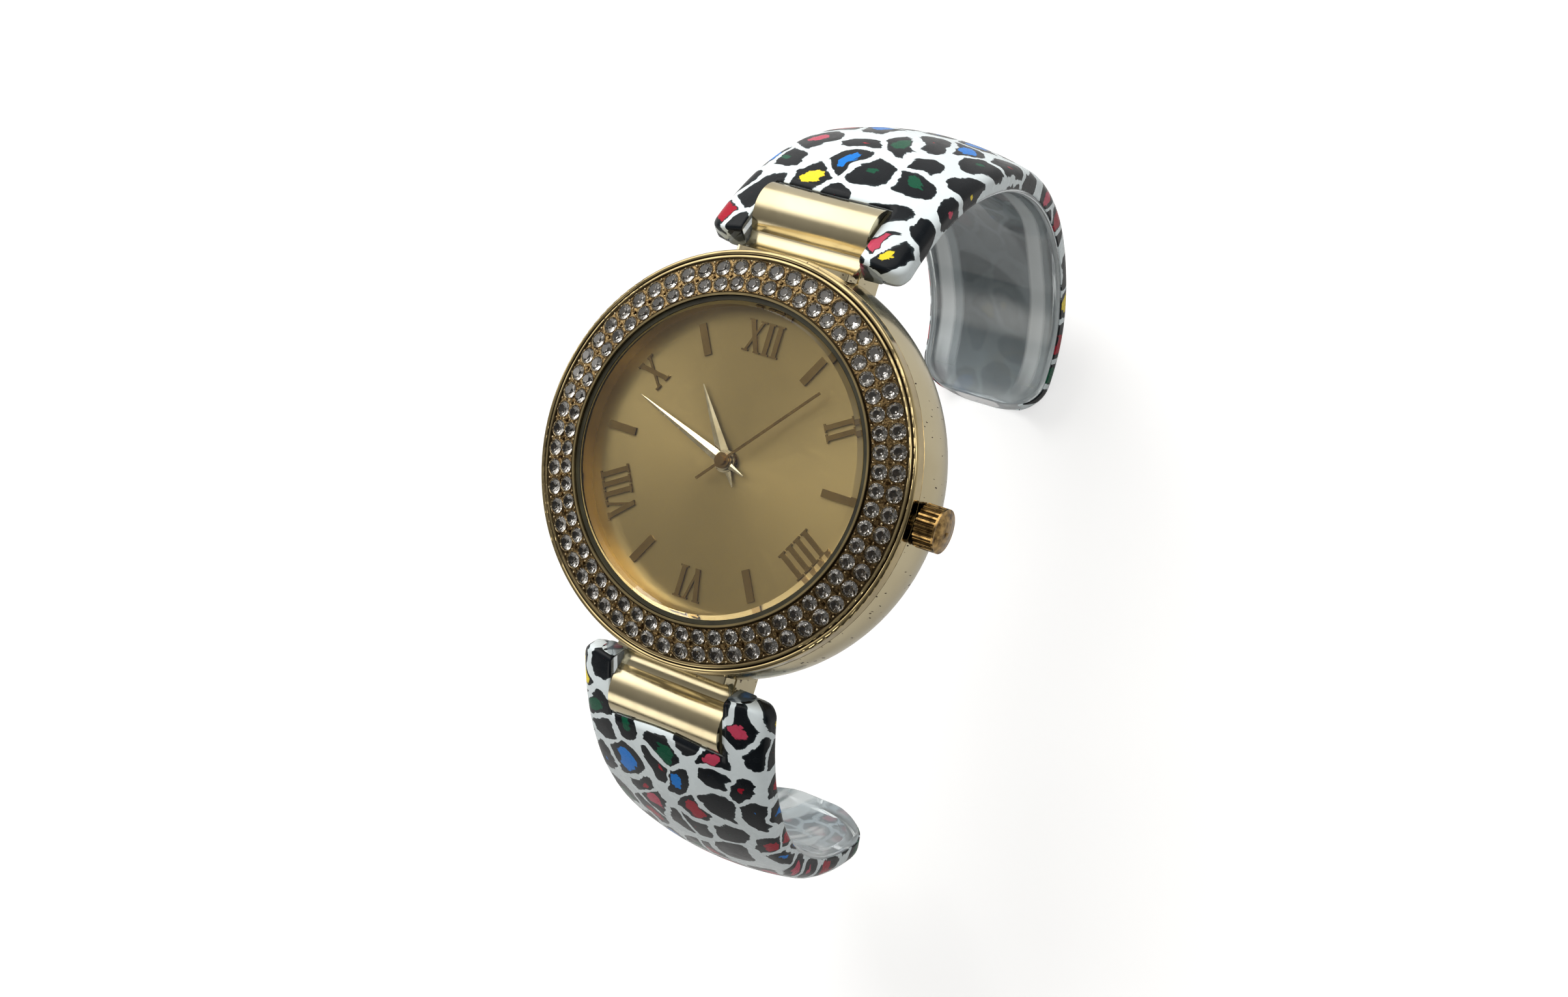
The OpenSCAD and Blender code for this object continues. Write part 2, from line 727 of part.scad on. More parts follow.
module main_plate() {
    color(brass) difference() {
        union() {
            shaft([0, 0], plate_radius, plate_under, plate_top);
            shaft(minute_place, 0.25, plate_top - cut, dial_under - 0.1);
            for (p = bridge_posts) shaft(p, pillar_radius, bridge_top, plate_under + 0.1);
            shaft(board_post, pillar_radius, board_top, plate_under + 0.1);
            shaft(strap_post, pillar_radius, battery_under, plate_under + 0.1);
            shaft(lever_place, 0.55, plate_top - 0.1, lever_under - 0.02);
            shaft(lever_place, 0.3, plate_top - 0.1, lever_under + lever_thickness + 0.1);
        }
        shaft([0, 0], plate_hole, plate_under - cut, plate_top + cut);
        bar_x(0, stem_level, stem_radius + running_gap, stem_inner - 0.3, plate_radius + 1);
        bar_x(0, stem_level, pinion_tip_radius + 0.1, pinion_start - 0.15,
            pinion_start + pinion_length + crown_pull + 0.15);
        for (p = [third_place, fifth_place, rotor_place])
            shaft(p, pivot_radius + running_gap, plate_under - cut, plate_under + 0.45);
        for (p = foot_places)
            shaft(p, foot_radius + running_gap, plate_under - cut, plate_top + cut);
        for (p = bridge_posts)
            shaft(p, screw_radius + running_gap, bridge_top - cut, plate_under + 0.3);
        shaft(board_post, screw_radius + running_gap, board_top - cut, plate_under + 0.3);
        shaft(strap_post, screw_radius + running_gap, battery_under - cut, plate_under + 0.3);
    }
}

module train_bridge() {
    color(steel) translate([0, 0, bridge_under]) difference() {
        linear_extrude(height = bridge_thickness) polygon([[-5.5, 0.9], [-5.5, 2.5],
            [-1.2, rotor_place[1] + 0.9], [1.2, rotor_place[1] + 0.9], [5.7, 2.9], [5.7, 1.1],
            [third_place[0] + 1.4, third_place[1]], [third_place[0], third_place[1] - 1.4],
            [-0.4, -1.6]]);
        for (p = [[0, 0], third_place, fifth_place, rotor_place])
            translate([p[0], p[1], -cut]) cylinder(r = pivot_radius + running_gap, h = 2);
        for (p = bridge_posts) translate([p[0], p[1], -cut])
            cylinder(r = screw_radius + running_gap, h = 2);
    }
}

module rotor() {
    d = mesh_module(rotor_distance, fifth_teeth, rotor_leaves);
    color([0.3, 0.3, 0.33]) translate([rotor_place[0], rotor_place[1], 0]) {
        shaft([0, 0], magnet_radius, stator_under - 0.02, stator_under + stator_thickness + 0.05);
        gear(rotor_leaves, d, -90, fifth_wheel_level - 0.06, 0.36);
        shaft([0, 0], pivot_radius, bridge_under + 0.2, plate_under + 0.4);
    }
}

module fifth_wheel() {
    wheel = mesh_module(rotor_distance, fifth_teeth, rotor_leaves);
    pinion = mesh_module(fifth_distance, fourth_teeth, fifth_leaves);
    color(brass) translate([fifth_place[0], fifth_place[1], 0]) {
        difference() {
            gear(fifth_teeth, wheel, 90 + 180 / fifth_teeth, fifth_wheel_level, wheel_thickness);
            wheel_windows(1.15, fifth_wheel_level);
        }
        gear(fifth_leaves, pinion, -90, fourth_wheel_level - 0.1, 0.56);
        shaft([0, 0], pivot_radius, bridge_under + 0.2, plate_under + 0.4);
    }
}

module fourth_wheel() {
    wheel = mesh_module(fifth_distance, fourth_teeth, fifth_leaves);
    pinion = mesh_module(third_distance, third_teeth, fourth_leaves);
    color(brass) {
        difference() {
            gear(fourth_teeth, wheel, fifth_angle + 180 / fourth_teeth, fourth_wheel_level,
                wheel_thickness);
            wheel_windows(1.25, fourth_wheel_level);
        }
        gear(fourth_leaves, pinion, third_angle, fourth_wheel_level, 0.72);
        shaft([0, 0], seconds_arbor_radius, fourth_wheel_level, second_blade + 0.25);
        shaft([0, 0], pivot_radius, bridge_under + 0.2, fourth_wheel_level + 0.1);
    }
}

module third_wheel() {
    wheel = mesh_module(third_distance, third_teeth, fourth_leaves);
    pinion = mesh_module(third_distance, centre_teeth, third_leaves);
    color(brass) translate([third_place[0], third_place[1], 0]) {
        difference() {
            gear(third_teeth, wheel, third_angle + 180 + 180 / third_teeth, third_wheel_level,
                wheel_thickness);
            wheel_windows(1.5, third_wheel_level);
        }
        gear(third_leaves, pinion, third_angle + 180, third_wheel_level, 0.85);
        shaft([0, 0], pivot_radius, bridge_under + 0.2, plate_under + 0.4);
    }
}

module centre_wheel() {
    wheel = mesh_module(third_distance, centre_teeth, third_leaves);
    color(brass) difference() {
        union() {
            difference() {
                gear(centre_teeth, wheel, third_angle + 180 / centre_teeth, centre_wheel_level,
                    wheel_thickness);
                wheel_windows(1.6, centre_wheel_level);
            }
            shaft([0, 0], centre_tube_radius, centre_wheel_level, minute_blade + blade_height + 0.02);
        }
        shaft([0, 0], centre_tube_bore, centre_wheel_level - cut, dial_level + 5);
    }
}

module cannon_pinion() {
    m = mesh_module(minute_wheel_distance, minute_teeth, cannon_leaves);
    color(steel) difference() {
        union() {
            gear(cannon_leaves, m, minute_wheel_angle, plate_top + 0.03, 0.3);
            shaft([0, 0], cannon_radius, plate_top + 0.03, minute_blade - 0.02);
        }
        shaft([0, 0], cannon_bore, plate_top - cut, dial_level + 5);
    }
}

module minute_wheel() {
    wheel = mesh_module(minute_wheel_distance, minute_teeth, cannon_leaves);
    pinion = mesh_module(minute_wheel_distance, hour_teeth, minute_leaves);
    color(brass) translate([minute_place[0], minute_place[1], 0]) difference() {
        union() {
            gear(minute_teeth, wheel, minute_wheel_angle + 180 + 180 / minute_teeth,
                plate_top + 0.1, wheel_thickness);
            gear(minute_leaves, pinion, minute_wheel_angle + 180, plate_top + 0.1, 0.58);
        }
        shaft([0, 0], 0.25 + running_gap, plate_top - cut, dial_level);
    }
}

module hour_wheel() {
    m = mesh_module(minute_wheel_distance, hour_teeth, minute_leaves);
    level = plate_top + 0.42;
    color(brass) difference() {
        union() {
            gear(hour_teeth, m, minute_wheel_angle + 180 / hour_teeth, level, wheel_thickness);
            shaft([0, 0], hour_pipe_radius, level, hour_blade + blade_height - 0.02);
        }
        shaft([0, 0], hour_pipe_bore, level - cut, dial_level + 5);
    }
}

module stator() {
    color(steel) translate([0, 0, stator_under]) linear_extrude(height = stator_thickness)
        difference() {
            union() {
                translate([-5.2, rotor_place[1] - 1]) square([10.4, 2]);
                for (s = [-1, 1]) translate([s * 4.5 - 0.7, rotor_place[1]])
                    square([1.4, coil_place[1] - rotor_place[1] + 0.6]);
            }
            translate(rotor_place) circle(r = magnet_radius + 0.14);
        }
}

module coil() {
    core_top = stator_under;
    mid = core_top - 0.18;
    color([0.72, 0.42, 0.18]) {
        translate([-coil_length / 2, coil_place[1], mid - 0.45]) rotate([0, 90, 0])
            cylinder(r = coil_radius, h = coil_length);
        translate([-5.2, coil_place[1] - 0.6, core_top - 0.36]) cube([10.4, 1.2, 0.36]);
    }
}

module battery() {
    color(steel) {
        shaft(battery_place, battery_radius, battery_under + 0.35, battery_top);
        shaft(battery_place, battery_radius - 0.5, battery_under, battery_top);
    }
}

module battery_strap() {
    b = battery_place;
    p = strap_post;
    color(brass) translate([0, 0, battery_under - 0.2]) difference() {
        linear_extrude(height = 0.2) polygon([[p[0] - 0.8, p[1] - 0.6], [p[0] - 0.8, p[1] + 0.6],
            [p[0] + 0.6, p[1] + 0.8], [p[0] + 1.1, p[1] - 0.6], [b[0] + 0.8, b[1] + 0.7],
            [b[0] + 0.5, b[1] - 1.1], [b[0] - 0.8, b[1] - 1.1], [b[0] - 1.2, b[1] + 0.5]]);
        translate([p[0], p[1], -cut])
            cylinder(r = screw_radius + running_gap, h = plate_thickness + 2 * cut);
    }
}

module circuit_board() {
    color([0.10, 0.30, 0.16]) translate([0, 0, board_top - board_thickness]) difference() {
        linear_extrude(height = board_thickness) intersection() {
            circle(r = plate_radius - 0.3);
            polygon([for (p = [[-0.24, -1.1], [1.1, -1.1], [1.1, -0.22], [0.52, -0.46],
                [-0.06, -0.5]]) p * plate_radius]);
            difference() {
                square(3 * plate_radius, center = true);
                translate(battery_place) circle(r = battery_radius + 0.4);
            }
        }
        translate([board_post[0], board_post[1], -cut])
            cylinder(r = screw_radius + running_gap, h = plate_thickness + 2 * cut);
    }
}

module quartz_can() {
    color(steel) bar_x(quartz_place[1], board_top + quartz_radius, quartz_radius,
        quartz_place[0] - quartz_length / 2, quartz_place[0] + quartz_length / 2);
}

module movement_screw(p, z) {
    difference() {
        union() {
            shaft(p, screw_radius, z, plate_under + 0.2);
            shaft(p, screw_head_radius, z - 0.32, z);
        }
        translate([p[0] - 1, p[1] - 0.09, z - 0.5]) cube([2, 0.18, 0.32]);
    }
}

module movement_screws() {
    color([0.6, 0.6, 0.63]) {
        for (p = bridge_posts) movement_screw(p, bridge_under);
        movement_screw(board_post, board_top - board_thickness);
        movement_screw(strap_post, battery_under - 0.2);
    }
}

// Crown and stem
module setting_lever() {
    a = asin(crown_pull / 2 / lever_arm);
    color(steel) translate([lever_place[0], lever_place[1], lever_under]) rotate([0, 0, a])
        difference() {
            union() {
                cylinder(r = 0.7, h = lever_thickness);
                linear_extrude(height = lever_thickness) polygon([[-0.6, 0], [0.6, 0],
                    [lever_tip_half, lever_arm - 0.4], [lever_tip_half, lever_arm],
                    [-lever_tip_half, lever_arm], [-lever_tip_half, lever_arm - 0.4]]);
            }
            translate([0, 0, -cut]) cylinder(r = 0.3 + running_gap, h = 2);
        }
}

module stem() {
    half = lever_tip_half + 0.1;
    shoulder = pinion_start + pinion_length;
    color(steel) {
        bar_x(0, stem_level, stem_radius * 0.7, stem_inner, shoulder + 0.05);
        bar_x(0, stem_level, stem_radius, shoulder + 0.02, stem_neck_place - half);
        bar_x(0, stem_level, stem_neck_radius, stem_neck_place - half - 0.1,
            stem_neck_place + half + 0.1);
        bar_x(0, stem_level, stem_radius, stem_neck_place + half, stem_end);
    }
}

module sliding_pinion() {
    color(steel) translate([pinion_start, 0, stem_level]) rotate([0, 90, 0]) difference() {
        gear(10, pinion_tip_radius / 5.8, 0, 0, pinion_length);
        translate([0, 0, -cut]) cylinder(r = stem_radius * 0.7 + 0.01, h = 3);
    }
}

gasket_place = crown_start + 0.4;
gasket_mean = (tube_radius + crown_groove_radius) / 2;
gasket_section = (crown_groove_radius - tube_radius) / 2 - 0.02;

module crown() {
    inner = tube_end + 0.1;
    color(gold) difference() {
        union() {
            bar_x(0, stem_level, crown_radius, crown_start, crown_start + crown_length);
            translate([crown_start + crown_length, 0, stem_level]) rotate([0, 90, 0])
                rotate_extrude() intersection() {
                    square([crown_radius - flute_radius * 0.7, crown_dome]);
                    translate([0, crown_dome - crown_radius * 3]) circle(r = crown_radius * 3);
                }
        }
        bar_x(0, stem_level, crown_bore, crown_start - cut, inner);
        bar_x(0, stem_level, crown_groove_radius, gasket_place - gasket_section - 0.04,
            gasket_place + gasket_section + 0.04);
        bar_x(0, stem_level, stem_radius + 0.01, inner - cut, stem_end + 0.05);
        for (i = [0 : flute_count - 1]) translate([crown_start - cut, 0, stem_level])
            rotate([360 * i / flute_count, 0, 0]) translate([0, crown_radius + 0.03, 0])
                rotate([0, 90, 0]) cylinder(r = flute_radius, h = crown_length - 0.2 + cut);
    }
}

module crown_gasket() {
    color(dark) translate([gasket_place, 0, stem_level]) rotate([0, 90, 0])
        rotate_extrude() translate([gasket_mean, 0]) circle(r = gasket_section);
}

module crown_tube() {
    color(gold) difference() {
        bar_x(0, stem_level, tube_radius, cavity_radius + 0.25, tube_end);
        bar_x(0, stem_level, tube_bore, cavity_radius - 1, tube_end + cut);
    }
}

// Arms
// A place on an arm's outer line is [y, z, slope]: a curve of radius r turns it inwards by a
function turned(p, r, a) = [p[0] + r * (sin(p[2] + a) - sin(p[2])),
    p[1] + r * (cos(p[2] + a) - cos(p[2])), p[2] + a];

// Draws in the frame of a place: X across the arm, Y forwards along it, Z outwards
module at_place(p) {
    translate([0, p[0], p[1]]) rotate([-p[2], 0, 0]) children();
}

// Section of an arm whose outer line has radius r: crowned outside, flat inside
module arm_section(r, inset, extra) {
    intersection() {
        translate([r - arm_crown_radius, 0]) circle(r = arm_crown_radius - inset);
        translate([r - arm_thickness - extra, -arm_root_half - 1])
            square([arm_thickness + extra + 1, 2 * arm_root_half + 2]);
    }
}

// A curve that reaches backwards from a place, turning a degrees at radius r
module arm_curve(r, a, inset, extra) {
    translate([0, 0, -r]) rotate([0, -90, 180]) rotate_extrude(angle = a)
        arm_section(r, inset, extra);
}

// Half width of an arm at distance s along it, for an arm of length total
function half_width(s, total) = let (third = 0.3 * total) s < third
    ? arm_root_half + (arm_third_half - arm_root_half) * s / third
    : arm_third_half + (arm_tip_half - arm_third_half) * (s - third) / (total - third);

// How fast the half width of an arm of length total changes towards its tip
function taper(total) = (arm_third_half - arm_tip_half) / (0.7 * total);

// Both sides of an arm: stations are pairs of distance along it and place, seen from the middle
module arm_sides(p0, slope, stations, total, inset) {
    c = cos(slope);
    d = sin(slope);
    far = [for (q = stations) (q[1][0] - p0[0]) * c - (q[1][1] - p0[1]) * d];
    wide = [for (q = stations) half_width(q[0], total) - inset];
    n = len(stations);
    at_place([p0[0], p0[1], slope]) translate([0, 0, -60]) linear_extrude(height = 120)
        polygon(concat([[wide[0], -12]], [for (i = [0 : n - 1]) [wide[i], far[i]]],
            [[wide[n - 1], far[n - 1] + 12], [-wide[n - 1], far[n - 1] + 12]],
            [for (i = [n - 1 : -1 : 0]) [-wide[i], far[i]]], [[-wide[0], -12]]));
}

// Takes the two corners at y = 0 off a width of 2 * w, which grows by t for each step back,
// leaving them round with radius q
module corner_cut(w, q, t) {
    c = 1 / sqrt(1 + t * t);
    x = w + q * t - q / c;
    touch = [x + q * c, -q + q * t * c];
    translate([0, 0, -8]) linear_extrude(height = 16) for (s = [-1, 1]) scale_x(s)
        difference() {
            translate([x, touch[1]]) square([q + 3, q + 3]);
            translate([x, -q]) circle(r = q);
        }
}

module scale_x(s) {
    if (s > 0) children();
    else mirror([1, 0, 0]) children();
}

upper_p0 = [arm_start, dial_level, upper_slope];
upper_p1 = turned(upper_p0, upper_long_radius, upper_long_turn);
upper_p2 = turned(upper_p1, upper_end_radius, upper_end_turn);
upper_long = upper_long_radius * upper_long_turn * PI / 180;
upper_total = upper_long + upper_end_radius * upper_end_turn * PI / 180;
upper_stations = concat([for (k = [0, 0.25, 0.5, 0.75, 1])
        [k * upper_long, turned(upper_p0, upper_long_radius, k * upper_long_turn)]],
    [[upper_total, upper_p2]]);
lower_p0 = [arm_start, dial_level, lower_slope];
lower_p1 = turned(lower_p0, lower_radius, lower_turn);
lower_total = lower_radius * lower_turn * PI / 180;
lower_stations = [for (k = [0, 0.3, 0.65, 1])
    [k * lower_total, turned(lower_p0, lower_radius, k * lower_turn)]];

// Angle of a curve of radius r whose outer line has length d
function arc_angle(r, d) = d / r * 180 / PI;

// Cuts that both arms share: the notch for the barrel and the holes for the pin
module hinge_cut() {
    y = hinge_distance;
    translate([-notch_half, y, hinge_level]) rotate([0, 90, 0])
        cylinder(r = notch_radius, h = 2 * notch_half);
    translate([-notch_half, y - 3 * barrel_radius, hinge_level - 2 * barrel_radius])
        cube([2 * notch_half, 3 * barrel_radius, 4 * barrel_radius]);
    translate([-notch_half, y - barrel_radius / 2, hinge_level])
        cube([2 * notch_half, 1.38 * barrel_radius, 2 * barrel_radius]);
    bar_x(y, hinge_level, pin_radius + pin_seat_gap, -arm_root_half - 1, arm_root_half - 1);
}

// The upper arm before its hinge is cut, its outer faces drawn in by inset and its inner
// face moved in by extra
module upper_blank(inset, extra) {
    start = turned(upper_p0, upper_long_radius, arc_angle(upper_long_radius, inset));
    end = turned(upper_p2, upper_end_radius, -arc_angle(upper_end_radius, inset));
    difference() {
        intersection() {
            at_place(upper_p1) union() {
                arm_curve(upper_long_radius,
                    upper_long_turn - arc_angle(upper_long_radius, inset), inset, extra);
                mirror([0, 1, 0]) arm_curve(upper_end_radius,
                    upper_end_turn - arc_angle(upper_end_radius, inset), inset, extra);
            }
            arm_sides(upper_p0, upper_slope + (upper_long_turn + upper_end_turn) / 2,
                upper_stations, upper_total, inset);
        }
        at_place(start) mirror([0, 1, 0])
            corner_cut(arm_root_half - inset, ear_corner_radius - inset, 0);
        at_place(end)
            corner_cut(arm_tip_half - inset, upper_tip_radius - inset, taper(upper_total));
    }
}

module lower_blank(inset, extra) {
    short = arc_angle(lower_radius, inset);
    end = turned(lower_p1, lower_radius, -short);
    difference() {
        intersection() {
            at_place(end) arm_curve(lower_radius, lower_turn - 2 * short, inset, extra);
            arm_sides(lower_p0, lower_slope + lower_turn / 2, lower_stations, lower_total, inset);
        }
        at_place(turned(lower_p0, lower_radius, short)) mirror([0, 1, 0])
            corner_cut(arm_root_half - inset, ear_corner_radius - inset, 0);
        at_place(end)
            corner_cut(arm_tip_half - inset, lower_tip_radius - inset, taper(lower_total));
    }
}

module upper_arm() {
    color(clear) difference() {
        upper_blank(film_thickness + film_gap, 0);
        hinge_cut();
    }
}

module upper_print_film() {
    color(print_white) difference() {
        upper_blank(0, 0);
        upper_blank(film_thickness, 1);
        hinge_cut();
    }
}

module lower_arm() {
    color(clear) mirror([0, 1, 0]) difference() {
        lower_blank(film_thickness + film_gap, 0);
        hinge_cut();
    }
}

module lower_print_film() {
    color(print_white) mirror([0, 1, 0]) difference() {
        lower_blank(0, 0);
        lower_blank(film_thickness, 1);
        hinge_cut();
    }
}

// Hinge pieces
module hinge_pin(y) {
    color(steel) bar_x(y, hinge_level, pin_radius, -arm_root_half + 0.3, arm_root_half - 1.05);
}

module hinge_bush(y) {
    color(brass) translate([-barrel_half, y, hinge_level]) rotate([0, 90, 0]) difference() {
        cylinder(r = chamber_radius - 0.02, h = chamber_wall);
        translate([0, 0, -cut]) cylinder(r = pin_radius + pin_gap, h = chamber_wall + 2 * cut);
    }
}

// The coil of a hinge spring: one unbroken tube of six sides, swept along a helix
spring_steps = 12;
spring_sides = 6;
module hinge_spring(y) {
    n = spring_turns * spring_steps;
    room = 2 * (barrel_half - chamber_wall) - 0.3 - 2 * spring_wire_radius;
    lift = atan2(room / spring_turns, 2 * PI * spring_radius);
    pts = [for (i = [0 : n]) for (k = [0 : spring_sides - 1])
        let (a = 360 * i / spring_steps, q = 360 * k / spring_sides,
            u = spring_wire_radius * cos(q), v = spring_wire_radius * sin(q),
            r = spring_radius + u)
        [-room / 2 + room * i / n + v * cos(lift), r * cos(a) + v * sin(lift) * sin(a),
            r * sin(a) - v * sin(lift) * cos(a)]];
    sides = [for (i = [0 : n - 1]) for (k = [0 : spring_sides - 1])
        let (a = i * spring_sides + k, b = i * spring_sides + (k + 1) % spring_sides,
            c = a + spring_sides, d = b + spring_sides) each [[a, b, c], [b, d, c]]];
    ends = [[for (k = [spring_sides - 1 : -1 : 0]) k],
        [for (k = [0 : spring_sides - 1]) n * spring_sides + k]];
    color(steel) translate([0, y, hinge_level]) polyhedron(points = pts,
        faces = concat(sides, ends));
}

module upper_hinge_pin() { hinge_pin(hinge_distance); }
module lower_hinge_pin() { hinge_pin(-hinge_distance); }
module upper_hinge_bush() { hinge_bush(hinge_distance); }
module lower_hinge_bush() { hinge_bush(-hinge_distance); }
module upper_hinge_spring() { hinge_spring(hinge_distance); }
module lower_hinge_spring() { hinge_spring(-hinge_distance); }

case_middle();
bezel();
outer_stones();
inner_stones();
crystal();
crystal_gasket();
rehaut_ring();
dial();
hour_markers();
hour_hand();
minute_hand();
second_hand();
movement_holder();
main_plate();
train_bridge();
rotor();
fifth_wheel();
fourth_wheel();
third_wheel();
centre_wheel();
cannon_pinion();
minute_wheel();
hour_wheel();
stator();
coil();
battery();
battery_strap();
circuit_board();
quartz_can();
movement_screws();
setting_lever();
stem();
sliding_pinion();
crown();
crown_gasket();
crown_tube();
case_back();
back_gasket();
upper_arm();
upper_print_film();
upper_hinge_pin();
upper_hinge_spring();
upper_hinge_bush();
lower_arm();
lower_print_film();
lower_hinge_pin();
lower_hinge_spring();
lower_hinge_bush();
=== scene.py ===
"""Bangle watch: its looks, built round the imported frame.

Lengths are millimetres in the row frame (dial up, 12 o'clock towards +Y, crown towards +X); a mesh
turns them into metres when it is made. Every new piece is a surface worked out as whole arrays,
and sits at the origin with its place in its mesh.
"""

import json
import logging
import math
from dataclasses import dataclass, field
from enum import Enum

import bpy  # noqa: E402
import numpy as np  # noqa: E402
from mathutils import Matrix  # noqa: E402

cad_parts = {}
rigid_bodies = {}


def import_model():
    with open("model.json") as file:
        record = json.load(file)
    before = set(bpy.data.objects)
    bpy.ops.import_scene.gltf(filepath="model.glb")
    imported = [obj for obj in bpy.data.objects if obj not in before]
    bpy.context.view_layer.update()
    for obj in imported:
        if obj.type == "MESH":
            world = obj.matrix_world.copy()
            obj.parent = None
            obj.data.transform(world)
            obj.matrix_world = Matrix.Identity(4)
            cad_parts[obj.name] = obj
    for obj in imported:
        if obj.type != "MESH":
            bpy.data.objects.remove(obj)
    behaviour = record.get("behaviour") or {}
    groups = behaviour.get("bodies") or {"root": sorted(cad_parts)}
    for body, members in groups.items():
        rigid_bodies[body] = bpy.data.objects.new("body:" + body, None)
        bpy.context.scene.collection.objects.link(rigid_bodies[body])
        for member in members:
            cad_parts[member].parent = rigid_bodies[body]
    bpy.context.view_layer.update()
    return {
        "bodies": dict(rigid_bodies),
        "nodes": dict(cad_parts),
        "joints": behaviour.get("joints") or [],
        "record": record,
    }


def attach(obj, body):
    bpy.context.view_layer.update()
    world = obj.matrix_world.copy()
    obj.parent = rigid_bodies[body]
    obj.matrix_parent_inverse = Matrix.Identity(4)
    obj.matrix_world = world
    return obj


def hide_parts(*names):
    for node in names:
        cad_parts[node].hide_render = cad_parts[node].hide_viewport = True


LOG = logging.getLogger("bangle_watch")
MM = 0.001

Pair = tuple[float, float]
Triple = tuple[float, float, float]
Colour = Triple
Array = np.ndarray
Socket = bpy.types.NodeSocket
Material = bpy.types.Material
Piece = bpy.types.Object

# Surfaces


@dataclass
class Shape:
    """A surface: its points in millimetres and blocks of faces.

    Attributes:
        points: one row of x, y, z for each point.
        faces: blocks of corner numbers, each block with its own number of corners.
        wrap: for each block, where each corner lies on the flattened skin, in millimetres.
        parts: which material slot each block takes; all 0 if empty.
    """

    points: Array
    faces: list[Array]
    wrap: list[Array] = field(default_factory=list)
    parts: list[int] = field(default_factory=list)

    def volume(self) -> float:
        """The signed volume: a sum of the volumes of the cones from the origin to each face.

        Returns:
            Cubic millimetres, below zero if the faces point inwards.
        """
        total = 0.0
        for block in self.faces:
            corner = self.points[block]
            for k in range(1, block.shape[1] - 1):
                cross = np.cross(corner[:, k], corner[:, k + 1])
                total += float((corner[:, 0] * cross).sum()) / 6.0
        return total

    def outward(self) -> "Shape":
        """The same closed surface with its faces pointing outwards.

        Returns:
            This surface, or a new one with every face turned over.
        """
        if self.volume() >= 0:
            return self
        wrap = [corners[:, ::-1] for corners in self.wrap]
        return Shape(self.points, [block[:, ::-1] for block in self.faces], wrap, self.parts)

    def trimmed(self) -> "Shape":
        """The same surface without the points that no face uses.

        Returns:
            A new surface.
        """
        used = np.unique(np.concatenate([block.ravel() for block in self.faces]))
        new = np.full(len(self.points), -1)
        new[used] = np.arange(len(used))
        return Shape(self.points[used], [new[block] for block in self.faces], self.wrap, self.parts)

    def welded(self, step: float = 1e-4) -> "Shape":
        """The surface with points in the same place made one, which closes seams and poles.

        Args:
            step: points nearer than this are the same point.

        Returns:
            A new surface. A four-cornered face with two corners in one place becomes a triangle.
        """
        keys = np.round(self.points / step).astype(np.int64)
        _, first, index = np.unique(keys, axis=0, return_index=True, return_inverse=True)
        index = index.reshape(-1)
        made = Shape(self.points[first], [])
        for i, block in enumerate(self.faces):
            mapped = index[block]
            same = mapped == np.roll(mapped, -1, axis=1)
            picks = [(same.sum(1) == 0, np.ones(mapped.shape, bool))]
            if block.shape[1] == 4:
                picks.append((same.sum(1) == 1, ~same))
            for rows, corners in picks:
                if not rows.any():
                    continue
                chosen = corners[rows]
                count = int(chosen[0].sum())
                made.faces.append(mapped[rows][chosen].reshape(-1, count))
                if self.wrap:
                    made.wrap.append(self.wrap[i][rows][chosen].reshape(-1, count, 2))
                if self.parts:
                    made.parts.append(self.parts[i])
        return made


def join(shapes: list[Shape]) -> Shape:
    """One surface that holds several, their points one after another.

    Args:
        shapes: the surfaces, none of them with places on a skin.

    Returns:
        The new surface.
    """
    starts = np.cumsum([0] + [len(s.points) for s in shapes])
    faces = [block + start for s, start in zip(shapes, starts) for block in s.faces]
    parts = [p for s in shapes for p in (s.parts or [0] * len(s.faces))]
    return Shape(np.concatenate([s.points for s in shapes]), faces, [], parts)


def shares(count: int) -> Array:
    """Equal steps from 0 to 1."""
    return np.linspace(0.0, 1.0, count)


def quarter(count: int) -> Array:
    """Equal steps from 0 to a right angle, in radians."""
    return np.radians(np.linspace(0.0, 90.0, count))


def between(first: Array, last: Array, steps: Array) -> Array:
    """Values at shares of the way from each first value to its last one, a row for each."""
    return first[:, None] + (last - first)[:, None] * steps


def rounding(near: Array, radius: float) -> Array:
    """How far a rounded corner draws a side in, at distances from the end that it leads to."""
    past = np.clip(radius - near, 0.0, radius)
    return radius - np.sqrt(np.maximum(radius**2 - past**2, 0.0))


def grid_faces(rows: int, cols: int, ring_rows: bool = False, ring_cols: bool = False) -> Array:
    """Four-cornered faces of a grid whose points are numbered row by row.

    Args:
        rows: number of rows of points.
        cols: number of points in a row.
        ring_rows: whether the last row joins the first.
        ring_cols: whether the last point of a row joins its first.

    Returns:
        One row of four corner numbers for each face.
    """
    r = np.arange(rows if ring_rows else rows - 1)
    c = np.arange(cols if ring_cols else cols - 1)
    r, c = (a.ravel() for a in np.meshgrid(r, c, indexing="ij"))
    r2, c2 = (r + 1) % rows, (c + 1) % cols
    return np.stack([r * cols + c, r2 * cols + c, r2 * cols + c2, r * cols + c2], axis=-1)


def fan(line: Array, middle: int, closed: bool = True) -> Array:
    """Triangles from each side of a line of points to one middle point.

    Args:
        line: the points' numbers in order.
        middle: the middle point's number.
        closed: whether the last point joins the first.

    Returns:
        One row of three corner numbers for each triangle.
    """
    sides = np.stack([line, np.roll(line, -1), np.full(len(line), middle)], axis=-1)
    return sides if closed else sides[:-1]


